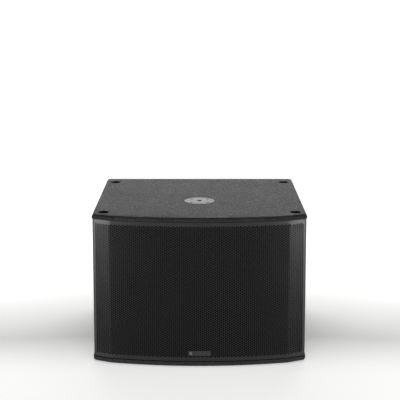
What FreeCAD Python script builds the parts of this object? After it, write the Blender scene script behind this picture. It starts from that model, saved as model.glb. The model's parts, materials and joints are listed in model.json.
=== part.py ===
import FreeCAD, Part
import math
import os

# Bass cabinet with a bowed wrap-round grille, a pole socket and stacking cups on top, handles at the
# sides and a powered module at the back. Millimetres. +X to the right seen from the front, +Y to the
# back, +Z up. The origin is on the floor, under the middle of the cabinet.

V = FreeCAD.Vector

# ---- Driving dimensions ----

cabinet_width = 680.0
cabinet_depth = 655.0
body_height = 480.0
foot_height = 4.0
panel = 18.0
edge_round = 10.0
corner_round = 12.0
facet_x = 283.0
facet_back = 31.0
corner_back = 57.0

upper_lip = 13.0
lower_lip = 16.0
grille_gap = 2.0
grille_inset = 2.5
grille_sheet = 1.5
foam_thickness = 8.0

baffle_y = -256.0
port_inner_x = 273.0
partition = 15.0
port_length = 200.0
back_recess = 22.0

stack_x = 304.0
stack_front_y = -238.0
stack_back_y = 255.0
pole_y = -64.0
pole_plate_radius = 50.0
pole_thread_radius = 8.65

handle_y = 90.0
handle_z = 274.0
handle_length = 200.0
handle_height = 120.0
handle_depth = 60.0

driver_radius = 194.0
driver_bolt_circle = 185.5

amp_width = 300.0
amp_height = 380.0
amp_sheet = 3.0
gasket_sheet = 1.5

slack = 0.05

# ---- Levels worked out from them ----

half_width = cabinet_width / 2
front_y = -cabinet_depth / 2
back_y = cabinet_depth / 2
bottom_z = foot_height
top_z = foot_height + body_height
middle_z = foot_height + body_height / 2
inner_low_z = bottom_z + panel
inner_high_z = top_z - panel
inner_x = half_width - panel
facet_y = front_y + facet_back
corner_y = front_y + corner_back
bow_radius = (facet_x ** 2 + facet_back ** 2) / (2 * facet_back)
back_face_y = back_y - back_recess
plate_face_y = back_face_y + gasket_sheet + amp_sheet
flange_end_y = -240.0

UP = V(0, 0, 1)
DOWN = V(0, 0, -1)
RIGHT = V(1, 0, 0)
LEFT = V(-1, 0, 0)
FRONT = V(0, -1, 0)
BACK = V(0, 1, 0)

stack_places = []
for stack_side in (-1, 1):
    for stack_y in (stack_front_y, stack_back_y):
        stack_places.append((stack_side * stack_x, stack_y))

os.makedirs("parts", exist_ok=True)


# ---- Shape helpers ----

def save(name, shape):
    """Write one named piece."""
    shape.exportStep("parts/" + name + ".step")


def group(shapes):
    """Separate solids kept together in one node."""
    return Part.makeCompound(shapes)


def block(x_range, y_range, z_range):
    """A box between two corners, given as a pair of limits along each axis."""
    size = [pair[1] - pair[0] for pair in (x_range, y_range, z_range)]
    return Part.makeBox(size[0], size[1], size[2], V(x_range[0], y_range[0], z_range[0]))


def rod(radius, length, start, axis):
    """A cylinder from start along axis."""
    return Part.makeCylinder(radius, length, start, axis)


def ring(outer, inner, length, start, axis):
    """A tube from start along axis."""
    return rod(outer, length, start, axis).cut(rod(inner, length, start, axis))


def turned(profile, x, z):
    """Turn a closed outline of (radius, y) points about an axis along Y through (x, z)."""
    points = [V(x + radius, y, z) for radius, y in profile]
    face = Part.Face(Part.makePolygon(points + [points[0]]))
    return face.revolve(V(x, 0, z), BACK, 360)


def softened(shape, radius, picks):
    """Round the edges for which picks(edge) is true."""
    edges = [edge for edge in shape.Edges if picks(edge)]
    return shape.makeFillet(radius, edges)


def upright(edge):
    """True for an edge that runs along Z."""
    ends = edge.Vertexes
    if len(ends) < 2:
        return False
    step = ends[1].Point - ends[0].Point
    return abs(step.x) < 1e-6 and abs(step.y) < 1e-6 and abs(step.z) > 1e-6


def lengthways(edge):
    """True for an edge that runs along Y."""
    ends = edge.Vertexes
    if len(ends) < 2:
        return False
    step = ends[1].Point - ends[0].Point
    return abs(step.x) < 1e-6 and abs(step.z) < 1e-6 and abs(step.y) > 1e-6


# ---- Fasteners ----

class Screw:
    """One size of screw, with its seat at the origin of its axis and its shank below the seat."""

    def __init__(self, shank, length, head, head_height, sunk):
        self.shank = shank
        self.length = length
        self.head = head
        self.head_height = head_height
        self.sunk = sunk

    def solid(self, seat, axis, extra=0.0):
        """The screw, or with extra radius the hole that it needs."""
        shank = rod(self.shank + extra, self.length + extra, seat, axis * -1)
        if self.sunk:
            cone = Part.makeCone(
                self.head + extra, self.shank + extra, self.head_height, seat, axis * -1
            )
            return shank.fuse(cone)
        head = rod(self.head + extra, self.head_height, seat, axis)
        return shank.fuse(head)

    def made(self, seat, axis):
        """The finished screw with its hexagon socket."""
        top = seat if self.sunk else seat + axis * self.head_height
        key = Part.makePolygon(hexagon(top, axis, self.head * 0.5))
        depth = self.head_height * 0.7
        socket = Part.Face(key).extrude(axis * -depth)
        return self.solid(seat, axis).cut(socket)


def hexagon(centre, axis, radius):
    """Seven points that close a hexagon about axis."""
    side = V(0, 0, 1).cross(axis) if abs(axis.z) < 0.5 else V(1, 0, 0)
    side.normalize()
    other = axis.cross(side)
    points = []
    for corner in range(7):
        angle = math.radians(60 * corner)
        points.append(centre + side * (radius * math.cos(angle)) + other * (radius * math.sin(angle)))
    return points


def screw_set(screw, places):
    """Screws at (seat, axis) places."""
    return group([screw.made(seat, axis) for seat, axis in places])


def drilled(shape, screw, places):
    """Take the screws' holes out of a shape."""
    for seat, axis in places:
        shape = shape.cut(screw.solid(seat, axis, slack))
    return shape


grille_screw = Screw(2.4, 22.0, 4.6, 2.4, True)
pole_screw = Screw(2.9, 28.0, 5.6, 2.8, True)
cup_screw = Screw(2.4, 8.5, 4.6, 2.4, True)
foot_screw = Screw(2.4, 22.0, 4.6, 2.4, True)
handle_screw = Screw(2.4, 14.5, 4.4, 2.2, True)
driver_bolt = Screw(3.2, 34.0, 6.0, 5.0, False)
amp_screw = Screw(2.2, 20.0, 4.2, 2.4, False)
socket_screw = Screw(1.4, 8.0, 2.6, 1.6, False)

grille_screw_places = []
for screw_side in (-1, 1):
    for screw_z in (64.0, 184.0, 304.0, 424.0):
        grille_seat = V(screw_side * (half_width - grille_inset), flange_end_y - 7.0, screw_z)
        grille_screw_places.append((grille_seat, RIGHT * screw_side))

pole_screw_places = []
for screw_turn in (45, 135, 225, 315):
    pole_arm = 38.0
    pole_screw_x = pole_arm * math.cos(math.radians(screw_turn))
    pole_screw_y = pole_y + pole_arm * math.sin(math.radians(screw_turn))
    pole_screw_places.append((V(pole_screw_x, pole_screw_y, top_z), UP))

cup_depth = 12.0
cup_floor = 3.0
foot_pocket = 1.5
cup_screw_places = []
foot_screw_places = []
for stack_px, stack_py in stack_places:
    cup_screw_places.append((V(stack_px, stack_py, top_z - cup_depth + cup_floor), UP))
    foot_screw_places.append((V(stack_px, stack_py, foot_pocket), DOWN))

handle_screw_places = []
for screw_side in (-1, 1):
    for step_y in (-1, 1):
        for step_z in (-1, 1):
            handle_seat = V(
                screw_side * half_width,
                handle_y + step_y * (handle_length / 2 - 8.0),
                handle_z + step_z * (handle_height / 2 - 8.0),
            )
            handle_screw_places.append((handle_seat, RIGHT * screw_side))

driver_flange = 6.0
driver_front_y = baffle_y - driver_flange
driver_bolt_places = []
for bolt_number in range(8):
    bolt_turn = math.radians(22.5 + 45 * bolt_number)
    driver_bolt_places.append(
        (
            V(
                driver_bolt_circle * math.cos(bolt_turn),
                driver_front_y,
                middle_z + driver_bolt_circle * math.sin(bolt_turn),
            ),
            FRONT,
        )
    )

amp_low_z = middle_z - amp_height / 2
amp_high_z = middle_z + amp_height / 2
amp_screw_places = []
amp_edge = 8.0
for screw_side in (-1, 1):
    for screw_step in range(5):
        amp_screw_z = amp_low_z + amp_edge + screw_step * (amp_height - 2 * amp_edge) / 4
        amp_screw_places.append((V(screw_side * (amp_width / 2 - amp_edge), plate_face_y, amp_screw_z), BACK))
for amp_screw_z in (amp_low_z + amp_edge, amp_high_z - amp_edge):
    amp_screw_places.append((V(0, plate_face_y, amp_screw_z), BACK))


# ---- Wooden cabinet ----

def outline(inset):
    """Closed plan outline of the cabinet at z = 0, drawn in by inset."""
    radius = bow_radius - inset
    bow_centre_y = front_y + bow_radius
    slope = math.atan2(corner_y - facet_y, half_width - facet_x)
    normal = V(math.sin(slope), -math.cos(slope), 0)
    on_facet = V(facet_x, facet_y, 0) - normal * inset
    # The drawn-in bow meets the drawn-in facet where |facet point - bow centre| = radius.
    along = V(math.cos(slope), math.sin(slope), 0)
    from_centre = on_facet - V(0, bow_centre_y, 0)
    half_b = from_centre.dot(along)
    reach = -half_b - math.sqrt(half_b ** 2 - (from_centre.Length ** 2 - radius ** 2))
    if abs(reach) > facet_x / 2:
        reach = -half_b + math.sqrt(half_b ** 2 - (from_centre.Length ** 2 - radius ** 2))
    bend = on_facet + along * reach
    side_x = half_width - inset
    corner = on_facet + along * ((side_x - on_facet.x) / along.x)
    rear_y = back_y - inset
    left_bend = V(-bend.x, bend.y, 0)
    left_corner = V(-side_x, corner.y, 0)
    rear_right = V(side_x, rear_y, 0)
    rear_left = V(-side_x, rear_y, 0)
    bow = Part.Arc(left_bend, V(0, bow_centre_y - radius, 0), bend).toShape()
    lines = [
        Part.makeLine(bend, corner),
        Part.makeLine(corner, rear_right),
        Part.makeLine(rear_right, rear_left),
        Part.makeLine(rear_left, left_corner),
        Part.makeLine(left_corner, left_bend),
    ]
    return Part.Wire([bow] + lines)


def prism(inset, low_z, high_z, rounding):
    """The outline as a block between two heights, with its four side corners rounded."""
    face = Part.Face(outline(inset))
    face.translate(V(0, 0, low_z))
    solid = face.extrude(V(0, 0, high_z - low_z))
    side_x = half_width - inset

    def at_corner(edge):
        return upright(edge) and abs(abs(edge.Vertexes[0].Point.x) - side_x) < 1e-3

    return softened(solid, rounding, at_corner)


def shell(outer_inset, thickness, low_z, high_z):
    """A sheet that follows the outline, cut off behind the end of the grille's side flanges."""
    inner_inset = outer_inset + thickness
    outer = prism(outer_inset, low_z, high_z, corner_round - outer_inset)
    inner = prism(inner_inset, low_z - 1, high_z + 1, max(corner_round - inner_inset, 1.0))
    sheet = outer.cut(inner)
    keep = block((-cabinet_width, cabinet_width), (2 * front_y, flange_end_y), (0, 2 * top_z))
    return sheet.common(keep)


def lid(low_z, high_z, outer_z, rebate_range):
    """Top or bottom panel: rounded outer rim and a rebate along the front for the grille's edge."""
    solid = prism(0, low_z, high_z, corner_round)

    def on_rim(edge):
        box = edge.BoundBox
        return abs(box.ZMin - outer_z) < 1e-6 and abs(box.ZMax - outer_z) < 1e-6

    solid = softened(solid, edge_round, on_rim)
    rebate_inset = 16.0
    rebate = prism(-1, rebate_range[0], rebate_range[1], corner_round)
    rebate = rebate.cut(prism(rebate_inset, rebate_range[0] - 1, rebate_range[1] + 1, 1.0))
    keep = block((-cabinet_width, cabinet_width), (2 * front_y, flange_end_y), (0, 2 * top_z))
    return solid.cut(rebate.common(keep))


def make_top_panel():
    """Top panel with the pockets for the pole plate and the four stacking cups."""
    solid = lid(inner_high_z, top_z, top_z, (inner_high_z, top_z - upper_lip))
    solid = solid.cut(rod(pole_plate_radius + slack, pole_plate_sheet, V(0, pole_y, top_z), DOWN))
    solid = solid.cut(rod(pole_hub_radius + slack, panel, V(0, pole_y, top_z), DOWN))
    for x, y in stack_places:
        solid = solid.cut(rod(cup_radius + slack, cup_depth, V(x, y, top_z), DOWN))
    solid = drilled(solid, pole_screw, pole_screw_places)
    solid = drilled(solid, cup_screw, cup_screw_places)
    save("top_panel", solid)


def make_bottom_panel():
    """Bottom panel with pilot holes for the feet."""
    solid = lid(bottom_z, inner_low_z, bottom_z, (bottom_z + lower_lip, inner_low_z))
    solid = drilled(solid, foot_screw, foot_screw_places)
    save("bottom_panel", solid)


def make_side_panels():
    """Side panels, rebated at the front for the grille's flange and cut through for the handle."""
    for name, side in (("left", -1), ("right", 1)):
        whole = prism(0, inner_low_z, inner_high_z, corner_round)
        inner_face = side * inner_x
        outer_face = side * (half_width + 1)
        keep = block(sorted((inner_face, outer_face)), (baffle_y, back_y + 1), (0, top_z))
        solid = whole.common(keep)
        rebate_x = side * (half_width - grille_inset - grille_sheet)
        rebate = block(sorted((rebate_x, outer_face)), (baffle_y - 1, flange_end_y + 1), (0, top_z))
        solid = solid.cut(rebate)
        flange_x = side * (half_width - handle_flange)
        pocket = block(
            sorted((flange_x, outer_face)),
            (handle_y - handle_length / 2, handle_y + handle_length / 2),
            (handle_z - handle_height / 2, handle_z + handle_height / 2),
        )
        pocket = softened(pocket, handle_corner, along_x)
        solid = solid.cut(pocket)
        solid = solid.cut(handle_well(side, 0.0, inner_x - 1, half_width + 1))
        solid = drilled(solid, handle_screw, handle_screw_places)
        solid = drilled(solid, grille_screw, grille_screw_places)
        save("side_panel_" + name, solid)


def make_back_panel():
    """Back panel, set in from the rim, with the module's opening."""
    solid = block((-inner_x, inner_x), (back_face_y - panel, back_face_y), (inner_low_z, inner_high_z))
    opening = block(
        (-amp_width / 2 + 15, amp_width / 2 - 15),
        (back_face_y - panel - 1, back_face_y + 1),
        (amp_low_z + 15, amp_high_z - 15),
    )
    solid = drilled(solid.cut(opening), amp_screw, amp_screw_places)
    save("back_panel", solid)


def make_baffle():
    """Baffle with the driver's round opening and its bolt holes."""
    baffle_x = port_inner_x - partition
    solid = block((-baffle_x, baffle_x), (baffle_y, baffle_y + panel), (inner_low_z, inner_high_z))
    solid = solid.cut(rod(177.0, panel, V(0, baffle_y, middle_z), BACK))
    solid = drilled(solid, driver_bolt, driver_bolt_places)
    save("baffle", solid)


def make_partitions():
    """Upright boards between the driver's chamber and the two slot ports."""
    for name, side in (("left", -1), ("right", 1)):
        x_range = sorted((side * (port_inner_x - partition), side * port_inner_x))
        solid = block(x_range, (baffle_y, baffle_y + port_length), (inner_low_z, inner_high_z))
        save("port_partition_" + name, solid)


def make_braces():
    """Two battens across the cabinet in front of the module, at the top and at the bottom."""
    batten_height = 45.0
    y_range = (199.0, 217.0)
    upper = block((-inner_x, inner_x), y_range, (inner_high_z - batten_height, inner_high_z))
    lower = block((-inner_x, inner_x), y_range, (inner_low_z, inner_low_z + batten_height))
    save("cross_braces", group([upper, lower]))


# ---- Grille, foam and badge ----

def make_grille():
    """Bent sheet with flanges round both sides, drawn solid where the holes are."""
    low = bottom_z + lower_lip + grille_gap
    high = top_z - upper_lip - grille_gap
    sheet = shell(grille_inset, grille_sheet, low, high)
    save("grille", drilled(sheet, grille_screw, grille_screw_places))
    save("grille_screws", screw_set(grille_screw, grille_screw_places))


def make_grille_foam():
    """Foam lining behind the sheet, clear of the side flanges."""
    clear = 0.3
    sheet = shell(grille_inset + grille_sheet + clear, foam_thickness, inner_low_z + 1, inner_high_z - 1)
    keep = block((-inner_x + 4, inner_x - 4), (2 * front_y, baffle_y - 1), (0, top_z))
    save("grille_foam", sheet.common(keep))


def make_badge():
    """Blank bar near the bottom of the grille, curved with it."""
    badge_low = bottom_z + 36.0
    badge_width = 71.0
    badge_height = 16.0
    badge_sheet = 1.5
    sheet = shell(grille_inset - badge_sheet, badge_sheet, badge_low, badge_low + badge_height)
    keep = block((-badge_width / 2, badge_width / 2), (2 * front_y, 0), (0, top_z))
    save("badge_bar", sheet.common(keep))


# ---- Pole socket, stacking cups and feet ----

pole_plate_sheet = 4.0
pole_hub_radius = 21.0
pole_hub_length = 36.0
cup_radius = 18.0
cup_bore = 16.3
foot_radius = 15.0


def make_pole_socket():
    """Round plate with a threaded hub, set flush in the top over a backing block."""
    plate = rod(pole_plate_radius, pole_plate_sheet, V(0, pole_y, top_z), DOWN)
    hub = rod(pole_hub_radius, pole_hub_length, V(0, pole_y, top_z), DOWN)
    solid = plate.fuse(hub).cut(rod(pole_thread_radius, pole_hub_length, V(0, pole_y, top_z), DOWN))
    save("pole_plate", drilled(solid, pole_screw, pole_screw_places))
    half = 62.0
    backing = block((-half, half), (pole_y - half, pole_y + half), (inner_high_z - panel, inner_high_z))
    backing = backing.cut(rod(pole_hub_radius + slack, 2 * panel, V(0, pole_y, top_z), DOWN))
    save("pole_backing_block", drilled(backing, pole_screw, pole_screw_places))
    save("pole_screws", screw_set(pole_screw, pole_screw_places))


def make_stacking_cups():
    """Round cups let into the top, where another cabinet's feet stand."""
    cups = []
    for x, y in stack_places:
        cup = rod(cup_radius, cup_depth, V(x, y, top_z), DOWN)
        cup = cup.cut(rod(cup_bore, cup_depth - cup_floor, V(x, y, top_z), DOWN))
        cups.append(drilled(cup, cup_screw, cup_screw_places))
    save("stacking_cups", group(cups))


def make_feet():
    """Rubber feet under the cups, each held by a sunk screw."""
    feet = []
    for x, y in stack_places:
        foot = rod(foot_radius, foot_height, V(x, y, 0), UP)
        foot = foot.makeChamfer(1.0, [edge for edge in foot.Edges if edge.BoundBox.ZMax < 1e-6])
        foot = foot.cut(rod(5.5, foot_pocket, V(x, y, 0), UP))
        feet.append(drilled(foot, foot_screw, foot_screw_places))
    save("rubber_feet", group(feet))
    screws = screw_set(cup_screw, cup_screw_places).Solids + screw_set(foot_screw, foot_screw_places).Solids
    save("stack_screws", group(screws))


# ---- Side handles ----

handle_flange = 3.0
handle_wall = 3.0
handle_corner = 14.0
bar_radius = 11.0
bar_x = half_width - 14.0
bar_z = handle_z + 16.0


def along_x(edge):
    """True for an edge that runs along X."""
    ends = edge.Vertexes
    if len(ends) < 2:
        return False
    step = ends[1].Point - ends[0].Point
    return abs(step.y) < 1e-6 and abs(step.z) < 1e-6 and abs(step.x) > 1e-6


def handle_well(side, inset, near_x, far_x):
    """The well's block, drawn in by inset, between two distances from the middle of the cabinet."""
    border = 15.0
    solid = block(
        sorted((side * near_x, side * far_x)),
        (handle_y - handle_length / 2 + border + inset, handle_y + handle_length / 2 - border - inset),
        (handle_z - handle_height / 2 + border + inset, handle_z + handle_height / 2 - border - inset),
    )
    return softened(solid, handle_corner - inset, along_x)


def make_handles():
    """Moulded dishes let into both sides, each with a round grip across its upper half."""
    for name, side in (("left", -1), ("right", 1)):
        flange = block(
            sorted((side * (half_width - handle_flange), side * half_width)),
            (handle_y - handle_length / 2, handle_y + handle_length / 2),
            (handle_z - handle_height / 2, handle_z + handle_height / 2),
        )
        flange = softened(flange, handle_corner, along_x)
        dish = flange.fuse(handle_well(side, 0.0, half_width - handle_depth, half_width))
        dish = dish.cut(handle_well(side, handle_wall, half_width - handle_depth + handle_wall, half_width))
        grip_length = handle_length - 30.0
        grip_start = V(side * bar_x, handle_y - grip_length / 2, bar_z)
        grip = rod(bar_radius, grip_length, grip_start, BACK)
        dish = dish.cut(grip)
        save("handle_dish_" + name, drilled(dish, handle_screw, handle_screw_places))
        save("handle_grip_" + name, grip)
    save("handle_screws", screw_set(handle_screw, handle_screw_places))


# ---- Loudspeaker driver ----

basket_wall = 4.0
magnet_front_y = -128.0
plate_thickness = 10.0
magnet_thickness = 24.0
pole_radius = 36.5
coil_radius = 38.1
gap_radius = 40.5
cone_edge = 144.0
terminal_z = middle_z - 100.0


def make_basket():
    """Pressed basket: flange, eight spokes, the spider's ledge and the seat for the front plate."""
    profile = [
        (driver_radius, driver_front_y),
        (driver_radius, baffle_y),
        (176.0, baffle_y),
        (104.0, -165.0),
        (104.0, -155.0),
        (82.0, -155.0),
        (82.0, magnet_front_y),
        (60.0, magnet_front_y),
        (60.0, magnet_front_y - basket_wall),
        (78.0, magnet_front_y - basket_wall),
        (78.0, -159.0),
        (98.0, -159.0),
        (98.0, -165.0),
        (165.0, -250.0),
        (165.0, driver_front_y),
    ]
    solid = turned(profile, 0, middle_z)
    for number in range(8):
        window = block((-29.0, 29.0), (-236.0, -176.0), (100.0, 190.0))
        window = softened(window, 10.0, lengthways)
        window.rotate(V(0, 0, 0), BACK, 45 * number)
        window.translate(V(0, 0, middle_z))
        solid = solid.cut(window)
    save("driver_basket", drilled(solid, driver_bolt, driver_bolt_places))


def make_moving_parts_of_driver():
    """Cone, dust cap, voice coil, and the surround and spider that hold them."""
    sheet = 1.2
    cone_back_y = -188.0
    cone = turned(
        [
            (cone_edge, driver_front_y),
            (cone_edge, driver_front_y + sheet),
            (cone_edge - 9, driver_front_y + sheet),
            (coil_radius, cone_back_y + sheet),
            (coil_radius, cone_back_y - sheet),
            (cone_edge - 9, driver_front_y),
        ],
        0,
        middle_z,
    )
    save("cone", cone)

    cap_points = [(52.0, -200.5), (50.8, -200.5)]
    steps = 8
    cap_height = 14.0
    for step in range(1, steps + 1):
        share = step / steps
        cap_points.append((50.8 * (1 - share), -200.5 - (cap_height - 1) * math.sin(share * math.pi / 2)))
    for step in range(steps, 0, -1):
        share = step / steps
        cap_points.append((52.0 * (1 - share), -200.5 - cap_height * math.sin(share * math.pi / 2)))
    save("dust_cap", turned(cap_points, 0, middle_z))

    former = ring(coil_radius, coil_radius - 0.5, 64.0, V(0, -187.0, middle_z), BACK)
    winding = ring(39.3, coil_radius, 18.0, V(0, -132.0, middle_z), BACK)
    save("voice_coil", former.fuse(winding))

    roll = 12.0
    roll_centre = cone_edge + roll
    face_y = driver_front_y - 0.1
    outer = []
    inner = []
    bends = 12
    for step in range(bends + 1):
        angle = math.pi * step / bends
        outer.append((roll_centre - roll * math.cos(angle), face_y - roll * math.sin(angle)))
        inner_roll = roll - sheet
        inner.append((roll_centre - inner_roll * math.cos(angle), face_y - inner_roll * math.sin(angle)))
    rim = roll_centre + roll
    lip = 8.0
    surround = [(cone_edge - lip, face_y), (cone_edge - lip, face_y - sheet)]
    surround += [(cone_edge, face_y - sheet)] + outer[1:-1] + [(rim, face_y - sheet)]
    surround += [(rim + lip, face_y - sheet), (rim + lip, face_y)] + inner[::-1]
    save("surround", turned(surround, 0, middle_z))

    spider_y = -160.2
    spider_inner = coil_radius + 0.1
    spider_outer = 92.0
    waves = 12
    front_line = []
    back_line = []
    for step in range(waves + 1):
        radius = spider_inner + (spider_outer - spider_inner) * step / waves
        height = 2.5 if step % 2 and step < waves - 2 else 0.0
        front_line.append((radius, spider_y - 0.8 - height))
        back_line.append((radius, spider_y - height))
    save("spider", turned(front_line + back_line[::-1], 0, middle_z))


def make_motor():
    """Front plate, ring magnet and back plate with the pole piece."""
    centre = V(0, magnet_front_y, middle_z)
    front_plate = ring(75.0, gap_radius, plate_thickness, centre, BACK)
    save("motor_front_plate", front_plate)
    magnet_start = centre + BACK * plate_thickness
    save("motor_magnet", ring(90.0, 54.0, magnet_thickness, magnet_start, BACK))
    back_start = magnet_start + BACK * magnet_thickness
    back_plate = rod(80.0, plate_thickness, back_start, BACK)
    pole_length = plate_thickness + magnet_thickness
    pole_piece = rod(pole_radius, pole_length, centre, BACK)
    vent = rod(12.0, pole_length + plate_thickness, centre, BACK)
    save("motor_back_plate", back_plate.fuse(pole_piece).cut(vent))


def make_driver_trim():
    """Front gasket, the driver's bolts and the terminal block that the cable goes into."""
    gasket = ring(driver_radius, 177.0, 3.0, V(0, driver_front_y - 3.0, middle_z), BACK)
    for seat, axis in driver_bolt_places:
        gasket = gasket.cut(rod(6.8, 4.0, seat, axis))
    save("driver_gasket", gasket)
    save("driver_bolts", screw_set(driver_bolt, driver_bolt_places))
    terminal = block((-14.0, 14.0), (-155.0, -141.0), (terminal_z - 6.0, terminal_z + 6.0))
    save("driver_terminals", terminal)


# ---- Speaker cable ----

cable_diameter = 7.0
cable_route = [
    V(0, -141.0, terminal_z),
    V(0, -60.0, terminal_z),
    V(18.0, 32.0, 120.0),
    V(40.0, 130.0, 124.0),
    V(40.0, 227.5, 124.0),
]


def make_cable():
    """The lead from the module to the driver: straight runs joined by tangent arcs."""
    edges = []
    here = cable_route[0]
    total = 0.0
    for number in range(1, len(cable_route) - 1):
        corner = cable_route[number]
        before = corner - cable_route[number - 1]
        after = cable_route[number + 1] - corner
        turn = before.getAngle(after)
        cut_back = 0.45 * min(before.Length, after.Length)
        arc_radius = cut_back / math.tan(turn / 2)
        way_in = before.normalize()
        way_out = after.normalize()
        start = corner - way_in * cut_back
        end = corner + way_out * cut_back
        towards_centre = (way_out - way_in).normalize()
        arc_middle = corner + towards_centre * (arc_radius / math.cos(turn / 2) - arc_radius)
        edges.append(Part.LineSegment(here, start).toShape())
        edges.append(Part.Arc(start, arc_middle, end).toShape())
        total += (start - here).Length + arc_radius * turn
        print("cable arc radius", round(arc_radius, 1))
        here = end
    edges.append(Part.LineSegment(here, cable_route[-1]).toShape())
    total += (cable_route[-1] - here).Length
    path = Part.Wire(edges)
    first_way = (cable_route[1] - cable_route[0]).normalize()
    section = Part.Wire(Part.makeCircle(cable_diameter / 2, cable_route[0], first_way))
    cable = path.makePipeShell([section], True, False)
    area = math.pi * (cable_diameter / 2) ** 2
    print("cable volume", round(cable.Volume), "against", round(area * total))
    save("speaker_cable", cable)


# ---- Powered module ----

input_x = (-112.0, -72.0)
socket_z = (262.0, 206.0)
flange_sheet = 2.0
socket_body = 11.8
knob_places = ((10.0, 262.0), (60.0, 262.0))
button_place = (10.0, 206.0)
rocker_place = (60.0, 134.0)
inlet_place = (-70.0, 134.0)
led_places = ((52.0, 206.0), (66.0, 206.0), (80.0, 206.0), (94.0, 206.0))
pot_radius = 8.0
bush_radius = 4.5
stem_radius = 3.0


def socket_screw_places():
    """Screws at two corners of each signal socket, and at both ends of the mains inlet."""
    places = []
    for x in input_x:
        for z in socket_z:
            places.append((V(x - 9.5, plate_face_y + flange_sheet, z + 12.0), BACK))
            places.append((V(x + 9.5, plate_face_y + flange_sheet, z - 12.0), BACK))
    for step in (-20.0, 20.0):
        places.append((V(inlet_place[0] + step, plate_face_y + flange_sheet, inlet_place[1]), BACK))
    return places


def make_amp_plate():
    """Face plate with holes for all that is fitted to it, its gasket, and the screws."""
    y_range = (plate_face_y - amp_sheet, plate_face_y)
    plate = block((-amp_width / 2, amp_width / 2), y_range, (amp_low_z, amp_high_z))
    plate = softened(plate, 6.0, lengthways)
    behind = plate_face_y - amp_sheet - 1
    for x in input_x:
        for z in socket_z:
            plate = plate.cut(rod(socket_body + slack, 6.0, V(x, behind, z), BACK))
        tab_x = (x - latch_width / 2 - 0.2, x + latch_width / 2 + 0.2)
        tab_z = (socket_z[0] + latch_low - 0.2, socket_z[0] + latch_low + latch_height + 0.2)
        plate = plate.cut(block(tab_x, (behind, plate_face_y + 1), tab_z))
    for x, z in knob_places:
        plate = plate.cut(rod(bush_radius + slack, 6.0, V(x, behind, z), BACK))
    plate = plate.cut(rod(button_radius + 0.3, 6.0, V(button_place[0], behind, button_place[1]), BACK))
    for x, z in led_places:
        plate = plate.cut(rod(2.0 + slack, 6.0, V(x, behind, z), BACK))
    for place, half_x, half_z in ((rocker_place, 13.5, 9.5), (inlet_place, 14.5, 11.0)):
        hole_x = (place[0] - half_x - slack, place[0] + half_x + slack)
        hole_z = (place[1] - half_z - slack, place[1] + half_z + slack)
        plate = plate.cut(block(hole_x, (behind, plate_face_y + 1), hole_z))
    plate = drilled(plate, socket_screw, socket_screw_places())
    save("amp_plate", drilled(plate, amp_screw, amp_screw_places))

    gasket = block(
        (-amp_width / 2, amp_width / 2), (back_face_y, back_face_y + gasket_sheet), (amp_low_z, amp_high_z)
    )
    inner = block(
        (-amp_width / 2 + 15, amp_width / 2 - 15),
        (back_face_y - 1, back_face_y + gasket_sheet + 1),
        (amp_low_z + 15, amp_high_z - 15),
    )
    gasket = softened(gasket, 6.0, lengthways).cut(inner)
    save("amp_gasket", drilled(gasket, amp_screw, amp_screw_places))
    save("amp_screws", screw_set(amp_screw, amp_screw_places))
    save("socket_screws", screw_set(socket_screw, socket_screw_places()))


def make_heatsink():
    """Extruded cooling fins on the upper part of the face plate."""
    half = 126.0
    z_range = (306.0, 408.0)
    solid = block((-half, half), (plate_face_y, plate_face_y + 3.0), z_range)
    fin_pitch = 9.0
    fin_sheet = 2.4
    fin_height = 14.0
    count = int((2 * half - fin_sheet) / fin_pitch) + 1
    fins = []
    for number in range(count):
        fin_x = -half + number * fin_pitch
        fins.append(block((fin_x, fin_x + fin_sheet), (plate_face_y, plate_face_y + fin_height), z_range))
    save("amp_heatsink", solid.fuse(fins).removeSplitter())


latch_width = 7.0
latch_height = 3.4
latch_low = 12.4
latch_travel = 1.5
button_radius = 4.0


def make_signal_sockets():
    """Two inputs with latch tabs above two link outputs with pins."""
    face_y = plate_face_y + flange_sheet
    depth = 24.0
    for name, x in (("left", input_x[0]), ("right", input_x[1])):
        for kind, z in (("input", socket_z[0]), ("link", socket_z[1])):
            flange = block((x - 13.0, x + 13.0), (plate_face_y, face_y), (z - 15.5, z + 17.0))
            flange = softened(flange, 3.0, lengthways)
            solid = flange.fuse(rod(socket_body, depth, V(x, face_y, z), FRONT))
            if kind == "input":
                slot = ring(10.0, 8.4, 14.0, V(x, face_y, z), FRONT)
                solid = solid.cut(slot)
                for turn in (90, 210, 330):
                    pin_x = x + 4.5 * math.cos(math.radians(turn))
                    pin_z = z - 4.5 * math.sin(math.radians(turn))
                    solid = solid.cut(rod(1.4, 14.0, V(pin_x, face_y, pin_z), FRONT))
                tab_x = (x - latch_width / 2 - 0.3, x + latch_width / 2 + 0.3)
                tab_z = (z + latch_low - 0.3, z + latch_low + latch_height + 0.3)
                solid = solid.cut(block(tab_x, (plate_face_y - depth, face_y + 1), tab_z))
            else:
                solid = solid.cut(rod(9.8, 14.0, V(x, face_y, z), FRONT))
                for turn in (90, 210, 330):
                    pin_x = x + 4.5 * math.cos(math.radians(turn))
                    pin_z = z - 4.5 * math.sin(math.radians(turn))
                    solid = solid.fuse(rod(1.2, 12.0, V(pin_x, face_y - 14.5, pin_z), BACK))
            save(kind + "_socket_" + name, drilled(solid, socket_screw, socket_screw_places()))
        tab_x = (x - latch_width / 2, x + latch_width / 2)
        tab_z = (socket_z[0] + latch_low, socket_z[0] + latch_low + latch_height)
        tab = block(tab_x, (face_y - 8.0, face_y + 2.5), tab_z)
        save("latch_tab_" + name, softened(tab, 0.8, along_x))


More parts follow.
